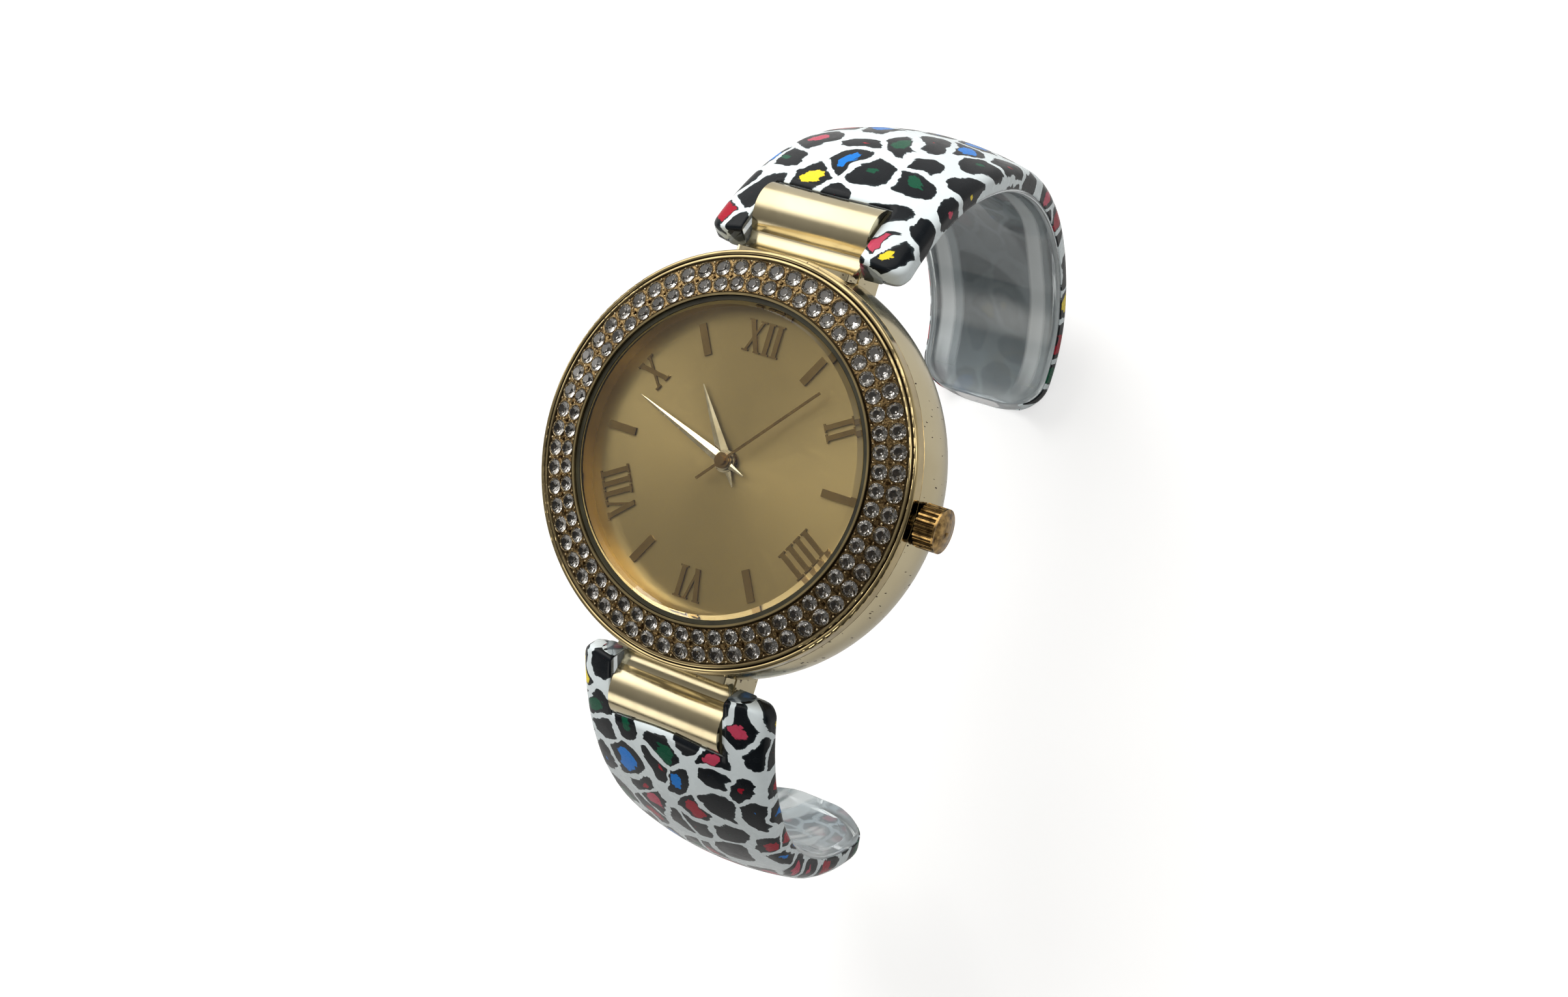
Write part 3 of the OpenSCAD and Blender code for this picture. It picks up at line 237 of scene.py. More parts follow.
def revolve(profile: Array, steps: int, closed: bool = True) -> Shape:
    """A turned piece: the profile's radius goes round the Z axis, and its level stays.

    Each point is (radius * cos a, radius * sin a, level) for the angle a of its row.

    Args:
        profile: rows of radius and level.
        steps: rows round the full turn.
        closed: whether the profile is a loop; if not, its ends lie on the axis.

    Returns:
        The closed surface, faces outwards.
    """
    angle = np.linspace(0.0, 2 * np.pi, steps, endpoint=False)[:, None]
    radius, level = profile[None, :, 0], profile[None, :, 1]
    points = np.stack([radius * np.cos(angle), radius * np.sin(angle), level + 0 * angle], axis=-1)
    faces = grid_faces(steps, len(profile), ring_rows=True, ring_cols=closed)
    return Shape(points.reshape(-1, 3), [faces]).welded().outward()


def build(name: str, shape: Shape, smooth: float = 0.0) -> Piece:
    """Puts a surface into a mesh object at the origin.

    Args:
        name: the piece's name.
        shape: the surface.
        smooth: edges that turn by more than this many degrees stay sharp; 0 leaves all flat.

    Returns:
        The new object, linked to the scene.
    """
    mesh = bpy.data.meshes.new(name)
    faces = [f for block in shape.faces for f in block.tolist()]
    mesh.from_pydata((shape.points * MM).tolist(), [], faces)
    if shape.wrap:
        layer = mesh.uv_layers.new(name="Wrap")
        corners = np.concatenate([block.reshape(-1, 2) for block in shape.wrap])
        layer.uv.foreach_set("vector", corners.astype(np.float32).ravel())
    if shape.parts:
        slots = np.repeat(shape.parts, [len(block) for block in shape.faces])
        mesh.polygons.foreach_set("material_index", slots.astype(np.int32))
    if smooth > 0:
        mesh.polygons.foreach_set("use_smooth", np.ones(len(mesh.polygons), bool))
        mesh.set_sharp_from_angle(angle=math.radians(smooth))
    mesh.update()
    piece = bpy.data.objects.new(name, mesh)
    bpy.context.scene.collection.objects.link(piece)
    return piece


def dress(piece: Piece, *finishes: Material) -> None:
    """Gives a piece its materials, and takes off those that it had.

    Args:
        piece: the piece.
        *finishes: its new materials, in order of their slots.
    """
    piece.data.materials.clear()
    for finish in finishes:
        piece.data.materials.append(finish)


def ride(piece: Piece, body: str, node: str | None) -> None:
    """Puts a new piece on its body.

    Args:
        piece: the piece.
        body: the body that it rides on.
        node: the node that it stands for, if there is one.
    """
    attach(piece, body)
    if node:
        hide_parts(node)


# Colours and nodes

# where most of a noise's values lie
USUAL = (0.3, 0.7)
# the upper part of those
UPPER = (0.35, 0.7)
# a new range that turns a value over
FALLING = (1.0, 0.0)


def linear(colour: Colour) -> tuple[float, ...]:
    """A screen colour from 0 to 1 as the light values that a shader takes."""
    return (*(c / 12.92 if c <= 0.04045 else ((c + 0.055) / 1.055) ** 2.4 for c in colour), 1.0)


def rgb(red: int, green: int, blue: int) -> Colour:
    """A screen colour from three numbers up to 255."""
    return (red / 255, green / 255, blue / 255)


def dimmed(colour: Colour, share: float) -> Colour:
    """A colour whose three numbers are cut to a share."""
    return tuple(c * share for c in colour)


class Nodes:
    """A node tree, with short ways to add and join nodes."""

    def __init__(self, tree: bpy.types.NodeTree) -> None:
        """Takes the tree that the nodes go into."""
        self.tree = tree

    def add(self, kind: str, inputs: dict | None = None, **settings: object) -> bpy.types.Node:
        """Adds a node.

        Args:
            kind: the node's type name without its ShaderNode prefix.
            inputs: input name or number to a value or to a socket that feeds it.
            **settings: the node's own settings.

        Returns:
            The node.
        """
        node = self.tree.nodes.new("ShaderNode" + kind)
        for key, value in settings.items():
            setattr(node, key, value)
        for key, value in (inputs or {}).items():
            self.feed(node.inputs[key], value)
        return node

    def feed(self, socket: Socket, value: object) -> None:
        """Joins a socket to another one, or sets its value.

        Args:
            socket: the input.
            value: a number, a colour, a vector or the socket that feeds it.
        """
        if isinstance(value, Socket):
            self.tree.links.new(value, socket)
        else:
            socket.default_value = value

    def reckon(self, kind: str, *values: object) -> Socket:
        """The result of one Math node, or of a chain of them for more than two values.

        Args:
            kind: the nodes' operation.
            *values: numbers or sockets.

        Returns:
            The last node's result.
        """
        result = values[0]
        for value in values[1:] or (0.0,):
            result = self.add("Math", {0: result, 1: value}, operation=kind).outputs[0]
        return result

    def times(self, *values: object) -> Socket:
        """The product of numbers or sockets."""
        return self.reckon("MULTIPLY", *values)

    def plus(self, *values: object) -> Socket:
        """The sum of numbers or sockets."""
        return self.reckon("ADD", *values)

    def minus(self, first: object, second: object) -> Socket:
        """The first value less the second."""
        return self.reckon("SUBTRACT", first, second)

    def most(self, *values: object) -> Socket:
        """The greatest of numbers or sockets."""
        return self.reckon("MAXIMUM", *values)

    def apart(self, first: object, second: object) -> Socket:
        """How far two values lie from each other."""
        return self.reckon("ABSOLUTE", self.minus(first, second))

    def vector(self, kind: str, *values: object) -> Socket:
        """The result of a VectorMath node: a number for a length or a product, else a vector."""
        node = self.add("VectorMath", dict(enumerate(values)), operation=kind)
        return node.outputs["Value" if kind in ("LENGTH", "DOT_PRODUCT") else "Vector"]

    def scaled(self, place: Socket, scale: Triple) -> Socket:
        """A place with each of its coordinates multiplied."""
        return self.add("Mapping", {"Vector": place, "Scale": scale}).outputs[0]

    def parts(self, place: Socket) -> list[Socket]:
        """A place's three coordinates."""
        return list(self.add("SeparateXYZ", {0: place}).outputs)

    def flat(self, place: Socket) -> Socket:
        """A place with its level left out."""
        return self.vector("MULTIPLY", place, (1, 1, 0))

    def radius(self, place: Socket) -> Socket:
        """A place's distance from the watch's axis."""
        return self.vector("LENGTH", self.flat(place))

    def noise(
        self, place: Socket, size: float, detail: float = 2.0, rough: float = 0.5, output: int = 0
    ) -> Socket:
        """A noise over a place.

        Args:
            place: the place in millimetres.
            size: about how wide its lumps are, in millimetres.
            detail: how many finer noises are laid over it.
            rough: how strong each finer noise is beside the one before.
            output: 0 for its value, 1 for its three values as a colour.

        Returns:
            The output's socket.
        """
        inputs = {"Vector": place, "Scale": 1 / size, "Detail": detail, "Roughness": rough}
        return self.add("TexNoise", inputs).outputs[output]

    def span(self, value: Socket, old: Pair, new: Pair = (0.0, 1.0), smooth: bool = False) -> Socket:
        """A value carried from one range to another, and held inside it.

        Args:
            value: the value.
            old: the range that it comes from.
            new: the range that it goes to.
            smooth: whether it leaves and reaches the ends gently.

        Returns:
            The new value.
        """
        inputs = {"Value": value, "From Min": old[0], "From Max": old[1], "To Min": new[0], "To Max": new[1]}
        kind = "SMOOTHSTEP" if smooth else "LINEAR"
        return self.add("MapRange", inputs, interpolation_type=kind).outputs[0]

    def cloud(self, place: Socket, size: float, detail: float = 2.0, new: Pair = (0.0, 1.0)) -> Socket:
        """A noise whose usual values fill a new range."""
        return self.span(self.noise(place, size, detail), USUAL, new)

    def mix(self, share: object, first: object, second: object) -> Socket:
        """A colour between two others.

        Args:
            share: how much of the second there is.
            first, second: colours or colour sockets.

        Returns:
            The colour.
        """
        node = self.add("Mix", data_type="RGBA")
        for socket, value in ((node.inputs[0], share), (node.inputs[6], first), (node.inputs[7], second)):
            plain = isinstance(value, tuple) and len(value) == 3
            self.feed(socket, linear(value) if plain else value)
        return node.outputs[2]


class Graph(Nodes):
    """A material's node tree, with one Principled shader joined to its output."""

    def __init__(self, name: str) -> None:
        """Makes the material.

        Args:
            name: the material's name.
        """
        self.material = bpy.data.materials.new(name)
        self.material.use_nodes = True
        super().__init__(self.material.node_tree)
        self.shader = self.tree.nodes["Principled BSDF"]
        self.output = self.tree.nodes["Material Output"]

    def shade(self, **inputs: object) -> None:
        """Sets or joins the Principled shader's inputs; an underscore stands for a space."""
        for key, value in inputs.items():
            self.feed(self.shader.inputs[key.replace("_", " ")], value)

    def place(self) -> Socket:
        """The place on the piece in millimetres."""
        return self.scaled(self.add("TexCoord").outputs["Object"], (1000, 1000, 1000))

    def wrap(self, scale: Triple = (1, 1, 1)) -> Socket:
        """The place on the flattened skin in millimetres."""
        return self.scaled(self.add("UVMap", uv_map="Wrap").outputs[0], scale)

    def bump(self, height: Socket, depth: float) -> None:
        """Gives the shader a normal from a height; depth is in millimetres."""
        node = self.add("Bump", {"Height": height, "Distance": depth * MM, "Strength": 1.0})
        self.shade(Normal=node.outputs[0])

    def let_light_through(self) -> None:
        """Lets rays from the lamps pass, so that what lies behind the glass is lit."""
        shadow = self.add("LightPath").outputs["Is Shadow Ray"]
        clear = self.add("BsdfTransparent").outputs[0]
        both = self.add("MixShader", {0: shadow, 1: self.shader.outputs[0], 2: clear})
        self.tree.links.new(both.outputs[0], self.output.inputs["Surface"])


# Finishes


class Brush(Enum):
    """Which way a metal's fine lines run."""

    NONE = "none"
    SUNRAY = "sunray"
    ROUND = "round"
    ALONG = "along"


@dataclass(frozen=True)
class Metal:
    """Plated or bare metal: cloudy colour, uneven gloss, fine lines and small nicks.

    Attributes:
        name: the material's name.
        bright: the clean colour.
        dull: the colour of tarnished or dirty places.
        rough: least and greatest roughness.
        cloud: size of the colour clouds, in millimetres.
        relief: depth of the lines or grain, in millimetres.
        lines: which way the fine lines run.
        nicks: share of the surface that shows small dark nicks.
        nick_reach: distance from the watch's axis beyond which there are none, in millimetres.
        nick_level: how high a noise is where nicks begin and where they are full, before the
            share of nicks is taken off.
        nick_size, line_width, grain: width of a nick, a line and a grain, in millimetres.
        rays: size of a circle that the sunray lines cross, beside their own width.
        stretch: how far highlights are drawn out across the lines.
    """

    name: str
    bright: Colour
    dull: Colour
    rough: Pair = (0.12, 0.24)
    cloud: float = 6.0
    relief: float = 0.002
    lines: Brush = Brush.NONE
    nicks: float = 0.0
    nick_reach: float = 19.6
    nick_level: Pair = (0.75, 0.77)
    nick_size: float = 0.32
    nick_colour: Colour = rgb(74, 62, 48)
    line_width: float = 0.09
    grain: float = 0.8
    rays: float = 9.0
    stretch: float = 0.6

    def make(self) -> Material:
        """The finish as a node material.

        Returns:
            The material.
        """
        g = Graph(self.name)
        place = g.place()
        fine = g.noise(place, self.grain)
        colour = g.mix(g.span(g.noise(place, self.cloud, 3.0), (0.35, 0.72)), self.bright, self.dull)
        rough = g.span(fine, USUAL, self.rough)
        height = fine
        if self.lines is not Brush.NONE:
            height = g.noise(self.line_place(g, place), self.line_width, 1.0)
        if self.nicks > 0:
            spots = g.noise(g.scaled(place, (1, 1, 0.3)), self.nick_size, 1.0)
            start, full = self.nick_level
            nick = g.span(spots, (start - self.nicks, full - self.nicks))
            nick = g.times(nick, g.span(g.radius(place), (self.nick_reach, self.nick_reach + 0.1), FALLING))
            colour = g.mix(nick, colour, self.nick_colour)
            rough = g.plus(rough, g.times(nick, 0.3))
            height = g.minus(height, nick)
        g.shade(Metallic=1.0, Base_Color=self.with_painted_shade(g, place, colour), Roughness=rough)
        if self.lines in (Brush.SUNRAY, Brush.ROUND):
            tangent = g.add("Tangent", direction_type="RADIAL", axis="Z").outputs[0]
            turn = 0.0 if self.lines is Brush.SUNRAY else 0.25
            g.shade(Anisotropic=self.stretch, Anisotropic_Rotation=turn, Tangent=tangent)
        g.bump(height, self.relief)
        return g.material

    def with_painted_shade(self, g: Graph, place: Socket, colour: Socket) -> Socket:
        """The colour with painted shade, of which plain metal has none."""
        return colour

    def line_place(self, g: Graph, place: Socket) -> Socket:
        """Coordinates that stay the same along the fine lines.

        Sunray lines keep the direction from the centre, round lines keep the distance from it,
        and straight lines keep the two coordinates across them.

        Args:
            g: the material's nodes.
            place: the place on the piece.

        Returns:
            The coordinates.
        """
        if self.lines is Brush.ALONG:
            return g.scaled(place, (0.02, 1, 1))
        if self.lines is Brush.SUNRAY:
            return g.vector("MULTIPLY", g.vector("NORMALIZE", g.flat(place)), (self.rays,) * 3)
        return g.add("CombineXYZ", {0: g.radius(place)}).outputs[0]


@dataclass(frozen=True)
class Stamped(Metal):
    """Metal of flat raised shapes, whose upright edges carry painted shade."""

    # painted shade: the dark colour painted on upright edges, where shade falls beside the raised shapes
    edges: Colour = rgb(74, 52, 24)

    def with_painted_shade(self, g: Graph, place: Socket, colour: Socket) -> Socket:
        """The colour with painted shade where the surface stands upright."""
        # painted shade on the faces that stand upright
        up = g.parts(g.add("NewGeometry").outputs["True Normal"])[2]
        return g.mix(g.span(up, (0.3, 0.75), (0.9, 0.0)), colour, self.edges)


@dataclass(frozen=True)
class Fluted(Metal):
    """Metal of the crown, with painted shade in its flutes.

    Attributes:
        axis: level of the crown's axis, in millimetres.
        flutes: distances from the axis between which the painted shade begins.
        reach: how far along X the flutes go.
        groove_shade: the colour of the painted shade in the flutes.
    """

    axis: float = 5.9
    flutes: Pair = (1.9, 1.985)
    reach: float = 21.27
    # painted shade: the dark colour painted into the flutes, where shade falls
    groove_shade: Colour = rgb(26, 17, 8)

    def with_painted_shade(self, g: Graph, place: Socket, colour: Socket) -> Socket:
        """The colour with painted shade where the surface is near the axis beside the flutes.

        Args:
            g: the material's nodes.
            place: the place on the piece.
            colour: the clean colour.

        Returns:
            The new colour.
        """
        across = g.vector("MULTIPLY_ADD", place, (0, 1, 1), (0, 0, -self.axis))
        # painted shade near the bottom of the flutes
        low = g.span(g.vector("LENGTH", across), self.flutes, (0.92, 0.0))
        beside = g.span(g.parts(place)[0], (self.reach, self.reach + 0.05), FALLING)
        return g.mix(g.times(low, beside), colour, self.groove_shade)


@dataclass(frozen=True)
class Clear:
    """Glass: slightly tinted, slightly uneven, and open to lamp light.

    Attributes:
        name: the material's name.
        tint: the colour of what comes through.
        index: how strongly it bends light.
        rough: least and greatest roughness.
    """

    name: str
    tint: Colour
    index: float = 1.5
    rough: Pair = (0.0, 0.01)

    def make(self) -> Material:
        """The finish as a node material.

        Returns:
            The material.
        """
        g = Graph(self.name)
        haze = g.noise(g.place(), 12.0)
        g.shade(
            Base_Color=g.mix(g.span(haze, USUAL), self.tint, dimmed(self.tint, 0.985)),
            Roughness=g.span(haze, UPPER, self.rough),
            IOR=self.index,
            Transmission_Weight=1.0,
        )
        g.let_light_through()
        return g.material


@dataclass(frozen=True)
class ClearArm:
    """Thick clear plastic with painted highlight ribbons along its long edges, a painted highlight at its
    side edge, and slanting milky streaks.

    A ribbon is a painted highlight: a strip at a distance from the side edge, with soft borders. A streak is
    where a noise that is stretched along a slant is high.

    Attributes:
        name: the material's name.
        tint, milk: its clear colour, and the colour of its milky streaks and its painted highlights.
        ribbon: distance of a ribbon's middle from the edge, and its half width, in millimetres.
        ticks: step of the small bright marks beside a ribbon, their distance from the edge and
            their half length, in millimetres.
        strength: how strong the ribbons' painted highlight is.
        streaks: how milky the streaks are.
        streak_level: how high a noise is where streaks begin and where they are full.
        slant: turn of the streaks, in radians.
        waver: length and reach of the waver of a ribbon's middle.
        from_tip: distances from the tip over which the ribbons grow.
        rim, rim_sheen: distances from the side edge between which the painted highlight along the edge
            fades, and how
        strong it is there.
        hinge_half: distances from the tip over which the small marks begin.
        through: how much light the clear places and the milky and highlighted places let through.
    """

    name: str = "arm_clear"
    tint: Colour = rgb(226, 232, 234)
    # the colour of the milky streaks and of the painted highlights
    milk_and_sheen: Colour = rgb(214, 221, 224)
    # painted highlight: lighter ribbons along the long edges
    ribbon: Pair = (2.5, 1.1)
    ticks: Triple = (1.25, 3.75, 0.45)
    strength: float = 0.8
    streaks: float = 0.0
    streak_level: Pair = (0.49, 0.58)
    slant: float = 0.7
    waver: Pair = (14.0, 0.35)
    from_tip: Pair = (2.0, 7.0)
    rim: Pair = (0.1, 0.7)
    # painted highlight along the side edge
    rim_sheen: Pair = (0.3, 0.02)
    hinge_half: Pair = (34.0, 46.0)
    through: Pair = (0.96, 0.1)

    def make(self) -> Material:
        """The finish as a node material.

        Returns:
            The material.
        """
        g = Graph(self.name)
        edge, tip, _ = g.parts(g.wrap())
        length, reach = self.waver
        wave = g.cloud(g.wrap((0.2, 1.0, 1.0)), length, 0.0, (-reach, reach))
        middle, half = self.ribbon
        away = g.apart(edge, g.plus(middle, wave))
        # painted highlight: a lighter ribbon along each long edge
        ribbon_sheen = g.span(away, (half, half * 0.5), (0.0, self.strength), smooth=True)
        ribbon_sheen = g.times(ribbon_sheen, g.span(tip, self.from_tip, (0.12, 1.0)))
        inputs = {"Vector": g.place(), "Rotation": (0.0, 0.0, self.slant), "Scale": (0.9, 0.2, 0.2)}
        slant = g.add("Mapping", inputs).outputs[0]
        streak = g.span(g.noise(slant, 2.4), self.streak_level, (0.0, self.streaks))
        # painted highlight along the side edge
        rim = g.span(edge, self.rim, self.rim_sheen)
        # milky streaks, small marks and painted highlights, together
        milk_and_sheen = g.most(ribbon_sheen, streak, rim, self.marks(g, edge, tip, wave))
        haze = g.noise(g.wrap((1.0, 0.3, 1.0)), 3.0, 3.0)
        g.shade(
            Base_Color=g.mix(milk_and_sheen, self.tint, self.milk_and_sheen),
            Roughness=g.span(haze, UPPER, (0.02, 0.07)),
            IOR=1.49,
            Transmission_Weight=g.span(milk_and_sheen, (0.0, 1.0), self.through),
        )
        g.let_light_through()
        return g.material

    def marks(self, g: Graph, edge: Socket, tip: Socket, wave: Socket) -> Socket:
        """The small bright marks beside one ribbon, on the half of the arm near the hinge.

        Args:
            g: the material's nodes.
            edge: the distance from the side edge.
            tip: the distance from the tip.
            wave: a slow waver along the arm.

        Returns:
            How milky the marks make each place.
        """
        step, middle, half = self.ticks
        beat = g.reckon("FRACT", g.reckon("DIVIDE", g.plus(tip, wave), step))
        length = g.cloud(g.wrap(), 1.4, 0.0, (half * 0.3, half * 1.4))
        beside = g.span(g.minus(length, g.apart(edge, middle)), (0.0, 0.12), (0.0, self.strength))
        left = g.span(g.parts(g.place())[0], (-1.0, 0.0), FALLING)
        near = g.span(tip, self.hinge_half)
        return g.times(g.span(beat, (0.2, 0.26), FALLING), beside, left, near)


@dataclass(frozen=True)
class Moulded:
    """Plastic, rubber, lacquer or paint: mottled colour and fine grain."""

    name: str
    light: Colour
    dark: Colour
    rough: Pair = (0.4, 0.6)
    mottle: float = 2.5
    grain: float = 0.3
    relief: float = 0.004

    def make(self) -> Material:
        """The finish as a node material.

        Returns:
            The material.
        """
        g = Graph(self.name)
        place = g.place()
        fine = g.noise(place, self.grain)
        colour = g.mix(g.cloud(place, self.mottle, 3.0), self.light, self.dark)
        g.shade(Base_Color=colour, Roughness=g.span(fine, USUAL, self.rough))
        g.bump(fine, self.relief)
        return g.material


@dataclass(frozen=True)
class SpotPrint:
    """A glossy printed skin: dark ragged spots with coloured hearts on a pale ground.

    Each cell of a warped cell pattern is one spot. It is dark where it is near enough to the
    cell's middle and far enough from the cell's border, and coloured near its middle. The spot's
    and the heart's size and the heart's colour come from the cell's own random numbers.

    Attributes:
        name: the material's name.
        cell: width of a spot's cell across the arm and along it, in millimetres.
        ground, worn: the pale ground, and the colour of the skin where the print is gone.
        dark, faded, fringe: the spots' dark ink, its paler places and its border.
        inks: the hearts' colours.
        stops: the random number from which each heart's colour is taken.
        gaps, sizes, hearts: least and greatest gap beside the cell's border, size of a spot and
            size of a heart, in widths of a cell.
        shift: where the pattern starts, so that the two arms differ.
        back: the grey of the skin's inner side, darker than the print's white as painted shade.
        ghost: how much of the print shows on the inner side near the hinge.
        fading: distances from the hinge over which that grows faint, in millimetres.
        wear, ragged: distances along the arm between which the print begins at the ears, and how
            far its border strays.
        gloss, relief: least and greatest roughness, and depth of its surface in millimetres.
        warps: size, reach and detail of the waves in the pattern, the spots' raggedness and the
            hearts'.
        scatter: how far the cells lie off a regular grid.
    """

    name: str
    cell: Pair = (4.0, 4.9)
    ground: Colour = rgb(226, 236, 240)
    worn: Colour = rgb(168, 174, 172)
    dark: Colour = rgb(10, 13, 17)
    faded: Colour = rgb(24, 29, 34)
    fringe: Colour = rgb(40, 48, 52)
    inks: tuple[Colour, ...] = (
        rgb(160, 14, 40), rgb(0, 120, 212), rgb(10, 80, 56), rgb(190, 66, 92), rgb(240, 214, 50),
    )
    stops: tuple[float, ...] = (0.0, 0.32, 0.6, 0.76, 0.91)
    gaps: Pair = (0.05, 0.11)
    sizes: Pair = (0.44, 0.62)
    hearts: Pair = (0.0, 0.28)
    shift: Triple = (0.0, 0.0, 0.0)
    # painted shade: the inner side is painted grey for the shade it lies in
    back: Colour = rgb(90, 99, 104)
    ghost: float = 0.42
    fading: Pair = (30.0, 50.0)
    wear: Pair = (-2.6, -1.9)
    ragged: float = 1.3
    gloss: Pair = (0.2, 0.34)
    relief: float = 0.014
    warps: tuple[Triple, ...] = ((6.0, 2.4, 1.0), (0.9, 0.5, 4.0), (0.6, 0.6, 3.0))
    scatter: float = 0.72

    def make(self) -> Material:
        """The printed side as a node material.

        Returns:
            The material.
        """
        g = Graph(self.name)
        raw = g.wrap()
        colour, dark = self.pattern(g, raw, 1.0)
        stray = g.span(g.noise(raw, 0.8, 4.0, 0.7), (0.2, 0.8), (-self.ragged, self.ragged))
        bare = g.span(g.plus(g.parts(raw)[1], stray), self.wear, (0.9, 0.0))
        g.shade(
            Base_Color=g.mix(bare, colour, self.worn),
            Roughness=g.span(g.noise(raw, 1.3, 3.0), UPPER, self.gloss),
            Specular_IOR_Level=0.14,
            Coat_Weight=0.08,
            Coat_Roughness=0.06,
            IOR=1.46,
        )
        g.bump(g.plus(dark, g.noise(raw, 6.0)), self.relief)
        return g.material

    def make_back(self) -> Material:
        """The side against the clear core: an even grey, darker than white as painted shade, with a faint
        ghost of the print.

        Returns:
            The material.
        """
        g = Graph(self.name + "_back")
        raw = g.wrap()
        colour, _ = self.pattern(g, raw, 5.0)
        streaks = g.noise(g.wrap((1.0, 0.25, 1.0)), 2.2, 3.0)
        fade = g.span(g.parts(raw)[1], self.fading, (self.ghost, self.ghost * 0.15))
        # painted shade: the grey of the inner side
        grey = g.mix(g.span(streaks, USUAL), self.back, dimmed(self.back, 0.88))
        g.shade(Base_Color=g.mix(fade, grey, colour), Roughness=g.span(streaks, USUAL, (0.45, 0.6)))
        g.bump(streaks, 0.01)
        return g.material

    def pattern(self, g: Graph, raw: Socket, blur: float) -> tuple[Socket, Socket]:
        """The print's colour, and how much of each place is dark ink.

        Args:
            g: the material's nodes.
            raw: the place on the flattened skin.
            blur: how much softer than print the outlines are.

        Returns:
            The colour and the share of ink.
        """
        waves, spot_edge, heart_edge = self.warps
        warp = self.offset(g, g.vector("ADD", raw, self.shift), *waves)
        spot_place = self.offset(g, warp, *spot_edge)
        edge = self.cells(g, spot_place, "DISTANCE_TO_EDGE")
        spot = self.cells(g, spot_place, "F1")
        heart = self.cells(g, self.offset(g, warp, *heart_edge), "F1")
        draw = g.add("SeparateColor", {0: spot["Color"]}).outputs
        drawn = g.add("SeparateColor", {0: heart["Color"]}).outputs
        from_edge = g.minus(edge["Distance"], g.span(draw[0], (0.0, 1.0), self.gaps))
        from_rim = g.minus(g.span(draw[1], (0.0, 1.0), self.sizes), spot["Distance"])
        inside = g.reckon("MINIMUM", from_edge, from_rim)
        dark = g.span(inside, (-0.006 * blur, 0.006 * blur))
        deep = g.span(inside, (0.02, 0.03 + 0.01 * blur))
        reach = g.span(drawn[1], (0.15, 0.7), self.hearts)
        core = g.span(g.minus(reach, heart["Distance"]), (-0.01 * blur, 0.01 * blur))
        ground = g.mix(g.cloud(raw, 4.0), self.ground, dimmed(self.ground, 0.97))
        fringe = g.mix(deep, self.fringe, g.mix(g.noise(raw, 2.0), self.dark, self.faded))
        spots = g.mix(g.times(core, deep), fringe, self.ink(g, drawn[2]))
        return g.mix(dark, ground, spots), dark

    def cells(self, g: Graph, place: Socket, kind: str) -> bpy.types.NodeOutputs:
        """The cell pattern: how far each place is from its cell's middle or border.

        Args:
            g: the material's nodes.
            place: the warped place on the skin.
            kind: which of the two distances is measured.

        Returns:
            The outputs, with the distance in widths of a cell and the cell's random colour.
        """
        width, length = self.cell
        spot = g.scaled(place, (1 / width, 1 / length, 1))
        inputs = {"Vector": spot, "Scale": 1.0, "Randomness": self.scatter}
        return g.add("TexVoronoi", inputs, feature=kind, voronoi_dimensions="2D").outputs

    def offset(self, g: Graph, place: Socket, size: float, reach: float, detail: float) -> Socket:
        """The place pushed sideways by a noise.

        Args:
            g: the material's nodes.
            place: the place on the skin.
            size: about how wide the noise's lumps are, in millimetres.
            reach: about twice the furthest push, in millimetres.
            detail: how many finer noises are laid over it.

        Returns:
            The new place.
        """
        centred = g.vector("SUBTRACT", g.noise(place, size, detail, output=1), (0.5, 0.5, 0.5))
        return g.vector("MULTIPLY_ADD", centred, (reach * 2, reach * 2, 0), place)

    def ink(self, g: Graph, pick: Socket) -> Socket:
        """One of the inks for each cell, chosen by its random number.

        Args:
            g: the material's nodes.
            pick: the random number.

        Returns:
            The colour.
        """
        node = g.add("ValToRGB", {0: pick})
        ramp = node.color_ramp
        ramp.interpolation = "CONSTANT"
        while len(ramp.elements) < len(self.stops):
            ramp.elements.new(0.5)
        for element, stop, ink in zip(ramp.elements, self.stops, self.inks):
            element.position = stop
            element.color = linear(ink)
        return node.outputs[0]


